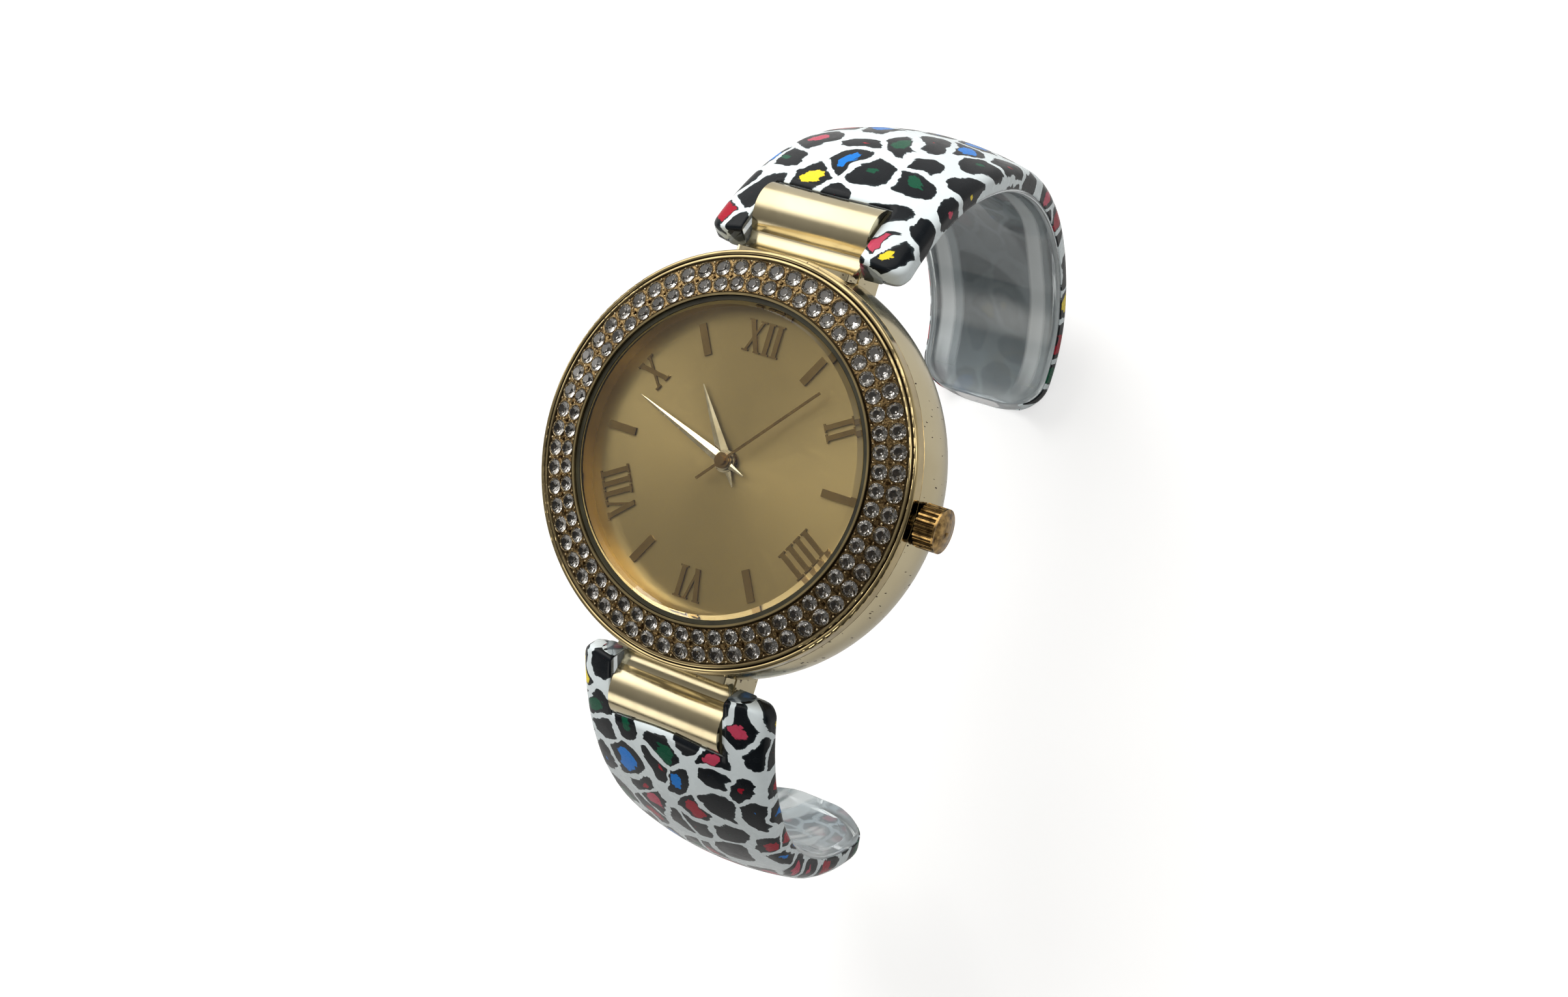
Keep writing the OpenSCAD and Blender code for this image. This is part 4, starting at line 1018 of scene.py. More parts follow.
@dataclass(frozen=True)
class CastBed:
    """The bezel's gold: polished rims, grooves with painted shade, and a rough cast bed with painted shade
    in its hollows and towards the crown.

    Attributes:
        name: the material's name.
        bright, cast, hollow, dirt: colours of the rims, the bed, the painted shade in its hollows and the
            painted shade in the grooves.
        bed: distances from the centre between which the bed lies, in millimetres.
        grooves: distance from the centre and half width of each groove, into which painted shade goes.
        crown_side_shade: share of the bed that painted shade darkens, on the side away from the crown and on
            its side.
        grain: width and depth of the cast surface's lumps.
        border: half width over which the bed gives way to a rim.
        hollow_level: how high the lumps' noise is where the painted shade in the hollows ends, from full to
            gone.
        crown_side_shade_from: x at which the painted shade begins to grow towards the crown.
        gloss, bed_rough: least and greatest roughness of the rims, and what the bed adds.
    """

    name: str = "bezel_gold"
    bright: Colour = rgb(200, 180, 134)
    # the bed's gold, darker than the rims partly as painted shade between the stones
    cast: Colour = rgb(156, 132, 92)
    # painted shade: the dark colour painted into the low places of the cast bed
    hollow: Colour = rgb(52, 37, 20)
    # painted shade: the dark colour painted into the grooves
    groove_shade: Colour = rgb(40, 27, 13)
    bed: Pair = (15.02, 18.0)
    grooves: tuple[Pair, ...] = ((18.12, 0.15), (18.52, 0.11), (14.97, 0.1))
    # painted shade: the bed grows darker towards the crown's side
    crown_side_shade: Pair = (0.05, 0.62)
    grain: Pair = (0.34, 0.09)
    border: float = 0.02
    hollow_level: Pair = (0.4, 0.56)
    crown_side_shade_from: float = -6.0
    gloss: Pair = (0.07, 0.12)
    bed_rough: float = 0.16

    def make(self) -> Material:
        """The finish as a node material.

        Returns:
            The material.
        """
        g = Graph(self.name)
        place = g.place()
        far = g.radius(place)
        start, end = self.bed
        inner = g.span(far, (start - self.border, start + self.border))
        bed = g.times(inner, g.span(far, (end - self.border, end + self.border), FALLING))
        grain = g.noise(place, self.grain[0], 3.0, 0.6)
        # painted shade: the low places of the cast lumps are painted dark
        deep = g.span(grain, self.hollow_level, FALLING)
        # painted shade: darker towards the crown's side
        crown_side_shade = g.span(g.parts(place)[0], (self.crown_side_shade_from, end), self.crown_side_shade)
        cast = g.mix(crown_side_shade, g.mix(deep, self.cast, self.hollow), self.hollow)
        cloud = g.span(g.noise(place, 2.5, 3.0), UPPER)
        smooth = g.mix(cloud, self.bright, dimmed(self.bright, 0.86))
        # painted shade in the grooves
        groove_shade = 0.0
        for middle, half in self.grooves:
            groove_shade = g.most(groove_shade, g.span(g.apart(far, middle), (half, half * 0.5), (0.0, 0.92)))
        rough = g.times(g.most(bed, groove_shade), self.bed_rough)
        rough = g.plus(rough, g.span(cloud, (0.0, 1.0), self.gloss))
        colour = g.mix(groove_shade, g.mix(bed, smooth, cast), self.groove_shade)
        g.shade(Metallic=1.0, Base_Color=colour, Roughness=rough)
        g.bump(g.times(bed, grain), self.grain[1])
        return g.material


# The arms


@dataclass(frozen=True)
class Bend:
    """One arc of an arm's middle line: its outer radius and how far it turns in, in degrees."""

    radius: float
    turn: float


@dataclass
class Net:
    """The lines over an arm: rows along it, each of them a loop round it.

    Attributes:
        at: usual distance of each row along the arm.
        w: half width at each row.
        xs, ds, s: x, depth and distance of each point.
        outer, inner: the lines between the notch's edges, on the outer and on the inner face.
        head: number of rows before those that lead up to the notch's back wall.
        wall: number of rows up to and with the wall.
    """

    at: Array
    w: Array
    xs: Array
    ds: Array
    s: Array
    outer: slice
    inner: slice
    head: int
    wall: int = 0

    @property
    def edges(self) -> tuple[tuple[int, int], tuple[int, int]]:
        """The lines along the notch's right and left edge, on the outer and the inner face."""
        return (self.outer.stop, self.inner.start - 1), (self.xs.shape[1] - 1, self.inner.stop)


@dataclass
class Patches:
    """The patches of points that an arm's closed surface is put together from.

    Attributes:
        skin: whether the places on the skin are those of the print.
        patches: each patch's points, their places on the skin, and those for the ends' faces.
        blocks: each block's faces, whether the printed skin covers each one, and whether they are
            an end's.
    """

    skin: bool
    patches: list[list[Array]] = field(default_factory=list)
    blocks: list[tuple[Array, Array | bool, bool]] = field(default_factory=list)

    @property
    def count(self) -> int:
        """How many points there are so far."""
        return sum(len(points) for points, _, _ in self.patches)

    def add(self, *patch: Array) -> None:
        """Adds a patch: its points, their places on the skin, and those for the ends' faces."""
        self.patches.append([part.reshape(-1, part.shape[-1]) for part in patch])

    def add_middle(self, line: Array) -> None:
        """Adds the middle point of a line of the first patch's points."""
        self.patches.append([part[line].mean(axis=0)[None] for part in self.patches[0]])

    def surface(self) -> tuple[Shape, list[Array]]:
        """All the patches as one surface.

        Returns:
            The surface, and for each block of faces whether the printed skin covers each face.
        """
        points, wrap, ends = (np.concatenate(parts) for parts in zip(*self.patches))
        wraps = [(ends if self.skin and end else wrap)[block] for block, _, end in self.blocks]
        printed = [np.broadcast_to(tag, len(block)) for block, tag, _ in self.blocks]
        return Shape(points, [block for block, _, _ in self.blocks], wraps), printed


@dataclass
class Arm:
    """One hinged arm: a clear moulded core with a printed skin on its outside.

    The middle line of the outer face lies in the plane x = 0 and is a chain of arcs. Distance s
    along it and heading h give the outward direction (sin h, cos h) in the plane of |y| and z.

    Attributes:
        name: first part of the pieces' names.
        body: the body that it rides on.
        side: +1 for the arm at 12 o'clock, -1 for the arm at 6 o'clock.
        slope: heading in degrees of the line where it leaves the hinge.
        bends: the arcs, from the hinge to the tip.
        tip_corner: radius of the tip's two corners, seen from outside.
        finish: the printed skin.
        start: distance from the centre and level where the line starts.
        halves: half widths at the hinge, at three tenths of the length and at the tip.
        thick: thickness at the middle line.
        crown, crown_reach: radius of the outer face across the arm, and how far out it holds.
        hinge: distance from the centre and level of the hinge's axis.
        notch_half, notch_radius, notch_wall: the barrel's notch: its half width, its radius round
            the axis, and the distance from the centre of its upright wall.
        ear_corner: radius of the corners of the ears beside the notch.
        film, bond: thickness of the skin, and of the gap between it and the core.
        outer_soft, inner_soft, tip_soft, end_soft: rounding of the outer long edges, the inner
            ones, the outer ones at the tip, and the edges of both ends.
        middle_s, past_s: usual distance of the notch's wall, and where the rows run straight again.
        row_step: greatest distance between rows further on.
        across, deep: lines across the notch, and from the outer to the inner face.
        flat_lines, bow_lines, side_lines: lines beside the notch, over a rounded edge, and over
            the side.
        ear_rows, notch_rows, tip_rows: rows over the ears' edge and again over their corner, up
            to the notch's wall and again past it, and over the tip's corners.
        bare_rows: rows at the tip that have no print.
        search: distances between which the notch's end is looked for, and in how many steps.
    """

    name: str
    body: str
    side: int
    slope: float
    bends: tuple[Bend, ...]
    tip_corner: float
    finish: SpotPrint
    start: Pair = (20.75, 6.8)
    halves: Triple = (10.25, 9.85, 7.2)
    thick: float = 3.8
    crown: float = 31.0
    crown_reach: float = 12.0
    hinge: Pair = (22.8, 2.5)
    notch_half: float = 6.2
    notch_radius: float = 3.05
    notch_wall: float = 25.3
    ear_corner: float = 1.6
    film: float = 0.12
    bond: float = 0.02
    outer_soft: float = 0.9
    inner_soft: float = 0.45
    tip_soft: float = 2.6
    end_soft: float = 0.45
    middle_s: float = 6.5
    past_s: float = 11.0
    row_step: float = 0.9
    across: int = 25
    deep: int = 9
    flat_lines: int = 9
    bow_lines: int = 7
    side_lines: int = 6
    ear_rows: int = 5
    notch_rows: int = 7
    tip_rows: int = 13
    bare_rows: int = 4
    search: tuple[float, float, int] = (2.0, 12.0, 1001)

    @property
    def length(self) -> float:
        """Length of the middle line of the outer face."""
        return sum(math.radians(b.turn) * b.radius for b in self.bends)

    def line(self, s: Array) -> tuple[Array, Array, Array]:
        """The middle line at distances s.

        On an arc of radius R that starts at heading h0, the heading is h0 + s / R and the place is
        the start plus R (sin h - sin h0, cos h - cos h0).

        Args:
            s: distances along the line.

        Returns:
            Distance from the centre, level, and heading in radians, each shaped like s.
        """
        y, z = np.full(s.shape, self.start[0]), np.full(s.shape, self.start[1])
        h = np.full(s.shape, math.radians(self.slope))
        left = s.copy()
        for i, bend in enumerate(self.bends):
            most = math.radians(bend.turn) * bend.radius
            last = i == len(self.bends) - 1
            part = left if last else np.minimum(left, most)
            part = part if i == 0 else np.maximum(part, 0.0)
            end = h + part / bend.radius
            y = y + bend.radius * (np.sin(end) - np.sin(h))
            z = z + bend.radius * (np.cos(end) - np.cos(h))
            h, left = end, left - most
        return y, z, h

    def place(self, x: Array, depth: Array, s: Array) -> Array:
        """Points at x, at a depth below the middle line's places at distances s."""
        y, z, h = self.line(s)
        return np.stack([x, self.side * (y - depth * np.sin(h)), z - depth * np.cos(h)], axis=-1)

    def half(self, s: Array) -> Array:
        """Half width at distances s: a first taper to three tenths of the length, then a second.

        Args:
            s: distances along the line.

        Returns:
            The half widths.
        """
        knee_s = 0.3 * self.length
        root, knee, tip = self.halves
        first = root + (knee - root) * s / knee_s
        return np.where(s < knee_s, first, knee + (tip - knee) * (s - knee_s) / (self.length - knee_s))

    def fall(self, x: Array) -> Array:
        """How far the outer face lies below its middle line at x."""
        return self.crown - np.sqrt(self.crown**2 - np.minimum(np.abs(x), self.crown_reach) ** 2)

    def notch_end(self, depth: Array) -> Array:
        """Distance at which the notch for the barrel ends, for each depth below the outer line.

        It is the last distance whose place is inside the notch: within the notch's radius of the
        hinge axis, or above the axis and nearer than the notch's upright wall.

        Args:
            depth: one row of depths.

        Returns:
            The distances.
        """
        s = np.linspace(*self.search)[None]
        y, z, h = self.line(s)
        y, z = y - depth[:, None] * np.sin(h), z - depth[:, None] * np.cos(h)
        ring = np.hypot(y - self.hinge[0], z - self.hinge[1]) < self.notch_radius
        box = (z > self.hinge[1]) & (y < self.notch_wall)
        return s[0][np.max(np.where(ring | box, np.arange(s.shape[1]), 0), axis=1)]

    def loop(
        self, along: Array, w: Array, x_break: Array, inset: float, shrink: Array
    ) -> tuple[Array, Array, tuple[slice, slice]]:
        """Section of the arm, one row for each station: x and depth of every line of the grid.

        The outer face is an arc of the crown radius, the inner face is flat, and both long edges
        on each side are rounded. Lines stand at fixed shares between the breaks at the notch.

        Args:
            along: distance of each station.
            w: half width at each station.
            x_break: x of the notch's edge at each station.
            inset: how far the surface is drawn in on its outer face and sides.
            shrink: further drawing in at each station, on all sides.

        Returns:
            x and depth arrays of one row for each station, and the slices of the loop that hold
            the outer face's middle and the inner face's middle.
        """
        w = (w - inset - shrink)[:, None]
        xb = x_break[:, None]
        top = (inset + shrink)[:, None]
        bottom = self.thick - shrink[:, None]
        grow = np.clip((along[:, None] / self.length - 0.45) / 0.5, 0.0, 1.0)
        room = np.maximum(bottom - (self.fall(w) + top), 0.1)
        outer_soft = self.outer_soft + (self.tip_soft - self.outer_soft) * grow - inset
        outer_soft = np.minimum(outer_soft, room * 0.66)
        inner_soft = np.minimum(self.inner_soft, room * 0.3)
        steps, bow = shares(self.flat_lines)[None], quarter(self.bow_lines)[None]
        outer_end, inner_end = w - outer_soft, w - inner_soft
        # the right half, from the notch's edge over the outer rounding, the side and the inner one
        x_ear = xb + (outer_end - xb) * steps
        x_round = outer_end + outer_soft * np.sin(bow[:, 1:])
        lean = (self.fall(x_round) - self.fall(outer_end)) * np.cos(bow[:, 1:])
        d_round = self.fall(outer_end) + top + outer_soft * (1 - np.cos(bow[:, 1:])) + lean
        d_side = between(d_round[:, -1], (bottom - inner_soft)[:, 0], shares(self.side_lines)[1:-1])
        x_in = inner_end + (xb - inner_end) * steps[:, 1:]
        x_parts = [x_ear, x_round, w + 0 * d_side, inner_end + inner_soft * np.cos(bow), x_in]
        d_low = bottom - inner_soft + inner_soft * np.sin(bow)
        right_x = np.hstack(x_parts)
        right_d = np.hstack([self.fall(x_ear) + top, d_round, d_side, d_low, bottom + 0 * x_in])
        x_mid = -xb + 2 * xb * shares(self.across)[None, 1:-1]
        xs = np.hstack([x_mid, right_x, -x_mid, -right_x[:, ::-1]])
        ds = np.hstack([self.fall(x_mid) + top, right_d, bottom + 0 * x_mid, right_d[:, ::-1]])
        n_mid, n_right = x_mid.shape[1], right_x.shape[1]
        return xs, ds, (slice(0, n_mid), slice(n_mid + n_right, 2 * n_mid + n_right))

    def stations(self, inset: float) -> list[Array]:
        """Distances of the rows along the arm.

        Args:
            inset: how far both ends are drawn in.

        Returns:
            The rows over the ears' corners, up to the notch's wall, past it, over the rest of the
            arm, and over the tip's corners.
        """
        total = self.length - inset
        edge = inset + self.end_soft * (1 - np.cos(quarter(self.ear_rows)))
        corner = np.linspace(edge[-1], inset + self.ear_corner, self.ear_rows)[1:]
        head = np.concatenate([edge, corner])
        steps = shares(self.notch_rows)[1:]
        to_wall = head[-1] + (self.middle_s - head[-1]) * steps
        past_wall = self.middle_s + (self.past_s - self.middle_s) * steps
        tip_s = total - self.tip_corner
        count = int((tip_s - self.past_s) / self.row_step) + 1
        body = np.linspace(self.past_s, tip_s, count)[1:]
        tip = total - self.tip_corner * (1 - np.sin(quarter(self.tip_rows)))[1:]
        tip[-1] = total
        return [head, to_wall, past_wall, body, tip]

    def net(self, inset: float) -> Net:
        """The lines over the arm, drawn in by inset.

        Rows up to the notch's end follow the notch's back wall: at depth d they lie at a share of
        the distance to the wall there. Past the notch, its edges go on as lines that narrow with
        the arm.

        Args:
            inset: how far the outer face, the sides and the ends are drawn in.

        Returns:
            The lines.
        """
        rows = self.stations(inset)
        at = np.concatenate(rows)
        from_end = self.length - inset - at
        w = self.half(at) - rounding(at - inset, self.ear_corner - inset)
        w = w - rounding(from_end, self.tip_corner - inset)
        shrink = rounding(np.minimum(at - inset, from_end), self.end_soft)
        line_x = self.notch_half * np.maximum(w, 0.6) / self.half(np.array([self.past_s]))[0]
        line_x = np.minimum(line_x, np.maximum(w - inset - 1.9, 0.3))
        x_break = np.where(at <= self.past_s, self.notch_half, line_x)
        xs, ds, (outer, inner) = self.loop(at, w, x_break, inset, shrink)
        net = Net(at, w, xs, ds, np.repeat(at[:, None], xs.shape[1], axis=1), outer, inner, len(rows[0]))
        net.wall = net.head + len(rows[1])
        wall_s = self.notch_end(ds[net.wall - 1])
        net.s[net.head:net.wall] = self.up_to_wall(net, wall_s)
        steps = shares(len(rows[2]) + 1)[1:, None]
        net.s[net.wall:net.wall + len(rows[2])] = wall_s + (self.past_s - wall_s) * steps
        return net

    def up_to_wall(self, net: Net, wall_s: Array) -> Array:
        """Distances of the rows up to the notch's back wall, for each distance of the wall."""
        head_s = net.at[net.head - 1]
        return head_s + (wall_s - head_s) * shares(net.wall - net.head + 1)[1:, None]

    def solid(self, inset: float, skin: bool) -> tuple[Shape, list[Array]]:
        """The arm as a closed surface with its notch, drawn in by inset.

        The part of the net inside the notch is left out, and walls between the outer and the inner
        face close it. There is no print on the inner face and the edges beside it, nor on the
        tip's last rows.

        Args:
            inset: how far the outer face, the sides and the ends are drawn in.
            skin: whether its skin coordinates are those of the print, or else the distances from
                the side edge and from the tip.

        Returns:
            The surface, and for each block of faces whether the printed skin covers each face.
        """
        net = self.net(inset)
        xs, ds, s = net.xs, net.ds, net.s
        cols = xs.shape[1]
        faces = grid_faces(len(xs), cols, ring_cols=True).reshape(-1, cols, 4)
        keep = np.ones(faces.shape[:2], bool)
        # face column c joins line c to line c + 1, so the notch's columns start one line earlier
        for middle in (net.outer, net.inner):
            keep[:net.wall - 1, np.arange(middle.start - 1, middle.stop) % cols] = False
        printed = np.ones(faces.shape[:2], bool)
        beside = self.bow_lines + self.flat_lines - 1
        printed[:, net.inner.start - beside:net.inner.stop + beside - 1] = False
        printed[-self.bare_rows:] = False
        wrap = self.skin(xs, ds, s)
        if not skin:
            wrap = np.stack([net.w[:, None] - np.abs(xs), self.length - inset - s], axis=-1)
        past = np.where(s < self.past_s, s - ds + self.end_soft, s + ds - self.end_soft)
        made = Patches(skin)
        made.add(self.place(xs, ds, s), wrap, np.stack([xs, past], axis=-1))
        made.blocks.append((faces[keep], printed[keep], False))
        self.add_walls(net, made)
        self.add_ends(net, made)
        return made.surface()

    def add_walls(self, net: Net, made: Patches) -> None:
        """Adds the notch's two side walls and its back wall.

        Args:
            net: the lines over the arm.
            made: the patches, which hold the net's points so far.
        """
        share = shares(self.deep)
        last = net.wall - 1
        right, left = net.edges
        for top, low in (right, left):
            d = between(net.ds[:net.wall, top], net.ds[:net.wall, low], share)
            along = np.repeat(net.at[:net.wall, None], self.deep, axis=1)
            along[net.head:] = self.up_to_wall(net, self.notch_end(d[last]))
            x = np.repeat(net.xs[:net.wall, top, None], self.deep, axis=1)
            block = grid_faces(net.wall, self.deep) + made.count
            made.blocks.append((block[:, ::-1] if top == right[0] else block, False, False))
            ends = np.stack([x, along - d + self.end_soft], axis=-1)
            made.add(self.place(x, d, along), np.stack([0 * x, along], axis=-1), ends)
        tops = np.concatenate([[left[0]], np.arange(net.outer.start, net.outer.stop), [right[0]]])
        lows = np.concatenate([[left[1]], np.arange(net.inner.start, net.inner.stop)[::-1], [right[1]]])
        d = between(net.ds[last, tops], net.ds[last, lows], share)
        along = self.notch_end(d.ravel()).reshape(d.shape)
        x = np.repeat(net.xs[last, tops, None], self.deep, axis=1)
        back = np.stack([0 * x, along], axis=-1)
        made.blocks.append((grid_faces(len(tops), self.deep) + made.count, False, False))
        made.add(self.place(x, d, along), back, back)

    def add_ends(self, net: Net, made: Patches) -> None:
        """Adds the tip's end and the two ears' ends, each a flat fan round a middle point.

        Args:
            net: the lines over the arm.
            made: the patches, first the net's points and then the notch's right and left wall.
        """
        rows, cols = net.xs.shape
        index = np.arange(rows * cols).reshape(rows, cols)
        right, left = net.edges
        made.add_middle(index[-1])
        made.blocks.append((fan(index[-1], made.count - 1), False, True))
        # an ear's fan also takes in the straight side along the notch, the first row of its wall
        for number, (first, stop) in enumerate(((right[0], right[1] + 1), (left[1], left[0] + 1))):
            made.add_middle(index[0, first:stop])
            centre = made.count - 1
            wall = rows * cols + number * net.wall * self.deep + np.arange(self.deep)
            side = fan(wall, centre, closed=False)
            made.blocks.append((fan(index[0, first:stop], centre, closed=False)[:, ::-1], True, True))
            made.blocks.append((side[:, ::-1] if number else side, True, True))

    def skin(self, xs: Array, ds: Array, s: Array) -> Array:
        """Where each point lies on the flattened skin.

        Across: x, and on the sides x plus the depth below the outer face's edge, so that the print
        goes on round the edge. Along: the distance s.

        Args:
            xs: x of each point.
            ds: its depth below the outer line.
            s: its distance along the line.

        Returns:
            The two coordinates of each point.
        """
        over = np.maximum(ds - self.fall(xs) - 0.2, 0.0)
        return np.stack([xs + np.sign(xs) * over, s + 0 * xs], axis=-1)

    def make(self, clear: Material) -> list[Piece]:
        """Builds the core and the printed skin, and lets them ride on the arm's body.

        Args:
            clear: the core's material.

        Returns:
            The core and the skin.
        """
        core, _ = self.solid(self.film + self.bond, False)
        piece = build(self.name + "_core", core.welded().outward(), 50.0)
        dress(piece, clear)
        ride(piece, self.body, self.name)
        whole, printed = self.solid(0.0, True)
        whole = whole.outward()
        used = [i for i, tag in enumerate(printed) if tag.any()]
        faces = [whole.faces[i][printed[i]] for i in used]
        skin = Shape(whole.points, faces, [whole.wrap[i][printed[i]] for i in used])
        film = build(self.name + "_skin", skin.trimmed().welded(), 50.0)
        wall = film.modifiers.new("Wall", "SOLIDIFY")
        wall.thickness = self.film * MM
        wall.offset = -1.0
        wall.material_offset = 1
        dress(film, self.finish.make(), self.finish.make_back())
        ride(film, self.body, self.name.replace("arm", "print_film"))
        return [piece, film]


# The stones


@dataclass
class StoneRow:
    """One row of round stones on the bezel's bed, each cut with a table, kites and a point.

    Attributes:
        name: the piece's name and the node that it stands for.
        ring: radius of the row.
        girdle: radius of a stone.
        seed: start of the draws that turn the stones.
        count: number of stones.
        crown, depth: a stone's height above its widest place, and its depth below.
        bed_outer, bed_inner: distance from the centre and level of the bed's two edges.
    """

    name: str
    ring: float
    girdle: float
    seed: int
    count: int = 60
    crown: float = 0.3
    depth: float = 0.46
    bed_outer: Pair = (18.12, 8.38)
    bed_inner: Pair = (14.98, 9.22)

    def cut(self) -> Shape:
        """One stone at the origin: rings of eight or sixteen points, joined by flat facets.

        Returns:
            The stone, whose glass, foil and painted shadow round its edge are parts 0, 1 and 2.
        """
        sixteen = np.radians(22.5) * np.arange(16)
        eighth, middles = sixteen[::2], sixteen[1::2]
        rings = []
        for angle, radius, level in (
            (middles, 0.54, self.crown),
            (eighth, 0.74, 0.66 * self.crown),
            (sixteen, 0.87, 0.4 * self.crown),
            (sixteen, 1.0, 0.0),
            (sixteen, 1.0, -0.03),
            (eighth, 0.5, -0.6 * self.depth),
            (eighth[:1], 0.0, -self.depth),
        ):
            out = radius * self.girdle
            level = np.full(len(angle), level)
            rings.append(np.stack([out * np.cos(angle), out * np.sin(angle), level], axis=-1))
        # number of each ring's first point: table, star, edge, girdle, under it, belly, point
        t, s, e, g, u, b, c = np.cumsum([0] + [len(ring) for ring in rings])[:7]
        j, k = np.arange(16), np.arange(8)
        j1, k1, even, left, right = (j + 1) % 16, (k + 1) % 8, 2 * k, (2 * k - 1) % 16, (2 * k + 1) % 16
        corners = (
            [(s + k, e + left, e + even), (s + k, e + even, e + right)],
            [(e + j, g + j, g + j1, e + j1)],
            [(g + j, u + j, u + j1, g + j1)],
            [(b + k, u + even, u + left), (b + k, u + right, u + even)],
            [(np.full(8, c), b + k1, u + right, b + k)],
        )
        tables = [(t + k)[None]]
        stars = [np.stack([t + (k - 1) % 8, s + k, t + k], axis=-1)]
        kites = [np.stack([t + k, s + k, e + right, s + k1], axis=-1)]
        rest = [np.concatenate([np.stack(face, axis=-1) for face in group]) for group in corners]
        faces = tables + stars + kites + rest
        # part 2, the crown's outer slope and the girdle, takes the painted shadow
        return Shape(np.concatenate(rings), faces, [], [0, 0, 0, 0, 2, 2, 1, 1]).outward()

    @property
    def slope(self) -> float:
        """How far the bed leans outwards, in radians."""
        return math.atan2(self.bed_inner[1] - self.bed_outer[1], self.bed_outer[0] - self.bed_inner[0])

    @property
    def angles(self) -> Array:
        """Where the stones stand round the bezel, in radians."""
        return 2 * np.pi * np.arange(self.count) / self.count

    def spread(self, shape: Shape, radius: float, angles: Array, spin: Array) -> Shape:
        """Copies of a small shape set on the bed, one at each angle round the bezel.

        Each copy is turned about its own axis, leaned with the bed, moved out to the radius at
        the bed's level there, and turned round the bezel's axis.

        Args:
            shape: the shape at the origin, its axis along Z.
            radius: how far out the copies stand.
            angles: where they stand, in radians.
            spin: how each one is turned about its own axis, in radians.

        Returns:
            All the copies as one surface.
        """
        level = self.bed_outer[1] + (self.bed_outer[0] - radius) * math.tan(self.slope)
        x, y, z = np.moveaxis(shape.points[None], -1, 0)
        cs, sn = np.cos(spin)[:, None], np.sin(spin)[:, None]
        x, y = x * cs - y * sn, x * sn + y * cs
        cb, sb = math.cos(self.slope), math.sin(self.slope)
        out, up = x * cb + z * sb + radius, -x * sb + z * cb + level
        ca, sa = np.cos(angles)[:, None], np.sin(angles)[:, None]
        points = np.stack([out * ca - y * sa, out * sa + y * ca, up], axis=-1).reshape(-1, 3)
        steps = len(shape.points) * np.arange(len(angles))[:, None, None]
        faces = [(block[None] + steps).reshape(-1, block.shape[1]) for block in shape.faces]
        return Shape(points, faces, [], shape.parts)

    def make(self, *finishes: Material) -> Piece:
        """Builds the whole row as one piece of equal stones, each with its own turn.

        Args:
            *finishes: the glass, the foil under it and the painted shadow round the stones' edges.

        Returns:
            The piece.
        """
        spin = np.random.default_rng(self.seed).uniform(0, np.pi / 4, self.count)
        piece = build(self.name + "_cut", self.spread(self.cut(), self.ring, self.angles, spin))
        dress(piece, *finishes)
        ride(piece, "case", self.name)
        return piece

    def lips(self) -> Shape:
        """The thin gold lip round each stone, with painted shadow on the side towards the stone.

        Returns:
            All the lips, whose gold faces and painted shadow faces are parts 0 and 1.
        """
        corners = [[0.075, -0.06], [0.07, 0.05], [0.045, 0.085], [0.015, 0.06], [0.005, -0.06]]
        lip = revolve(np.array(corners) + [self.girdle, 0.0], 18)
        # painted shadow on the lip's side towards the stone
        dark = lip.points[:, 0] ** 2 + lip.points[:, 1] ** 2 < (self.girdle + 0.05) ** 2
        shade = [dark[block].all(axis=1) for block in lip.faces]
        faces = [b[~s] for b, s in zip(lip.faces, shade)] + [b[s] for b, s in zip(lip.faces, shade)]
        lip = Shape(lip.points, faces, [], [0] * len(shade) + [1] * len(shade))
        return self.spread(lip, self.ring, self.angles, np.zeros(self.count))

    def beads(self, radius: float, size: float) -> Shape:
        """Small gold beads between the stones, on the bed at a radius.

        Args:
            radius: how far out they stand.
            size: radius of a bead.

        Returns:
            All the beads.
        """
        bow = quarter(4)
        dome = np.stack([size * np.cos(bow), size * np.sin(bow) * 0.9], axis=-1)
        bead = revolve(np.concatenate([[[0.0, -0.06], [size, -0.06]], dome]), 10, closed=False)
        between_stones = self.angles + np.pi / self.count
        return self.spread(bead, radius, between_stones, np.zeros(self.count))


@dataclass
class Settings:
    """The lips and beads that hold the stones, as one piece.

    Attributes:
        rows: the rows of stones.
        bead_rings: distance from the centre and size of each ring of beads.
    """

    rows: tuple[StoneRow, ...]
    bead_rings: tuple[Pair, ...] = ((17.93, 0.13), (16.95, 0.13), (16.16, 0.12), (15.17, 0.12))

    def make(self, gold: Material, dark: Material) -> Piece:
        """Builds the piece.

        Args:
            gold: the settings' gold.
            dark: the painted shadow on the lips' inner side.

        Returns:
            The piece.
        """
        beads = [self.rows[0].beads(radius, size) for radius, size in self.bead_rings]
        piece = build("stone_settings", join([row.lips() for row in self.rows] + beads), 60.0)
        dress(piece, gold, dark)
        ride(piece, "case", None)
        return piece


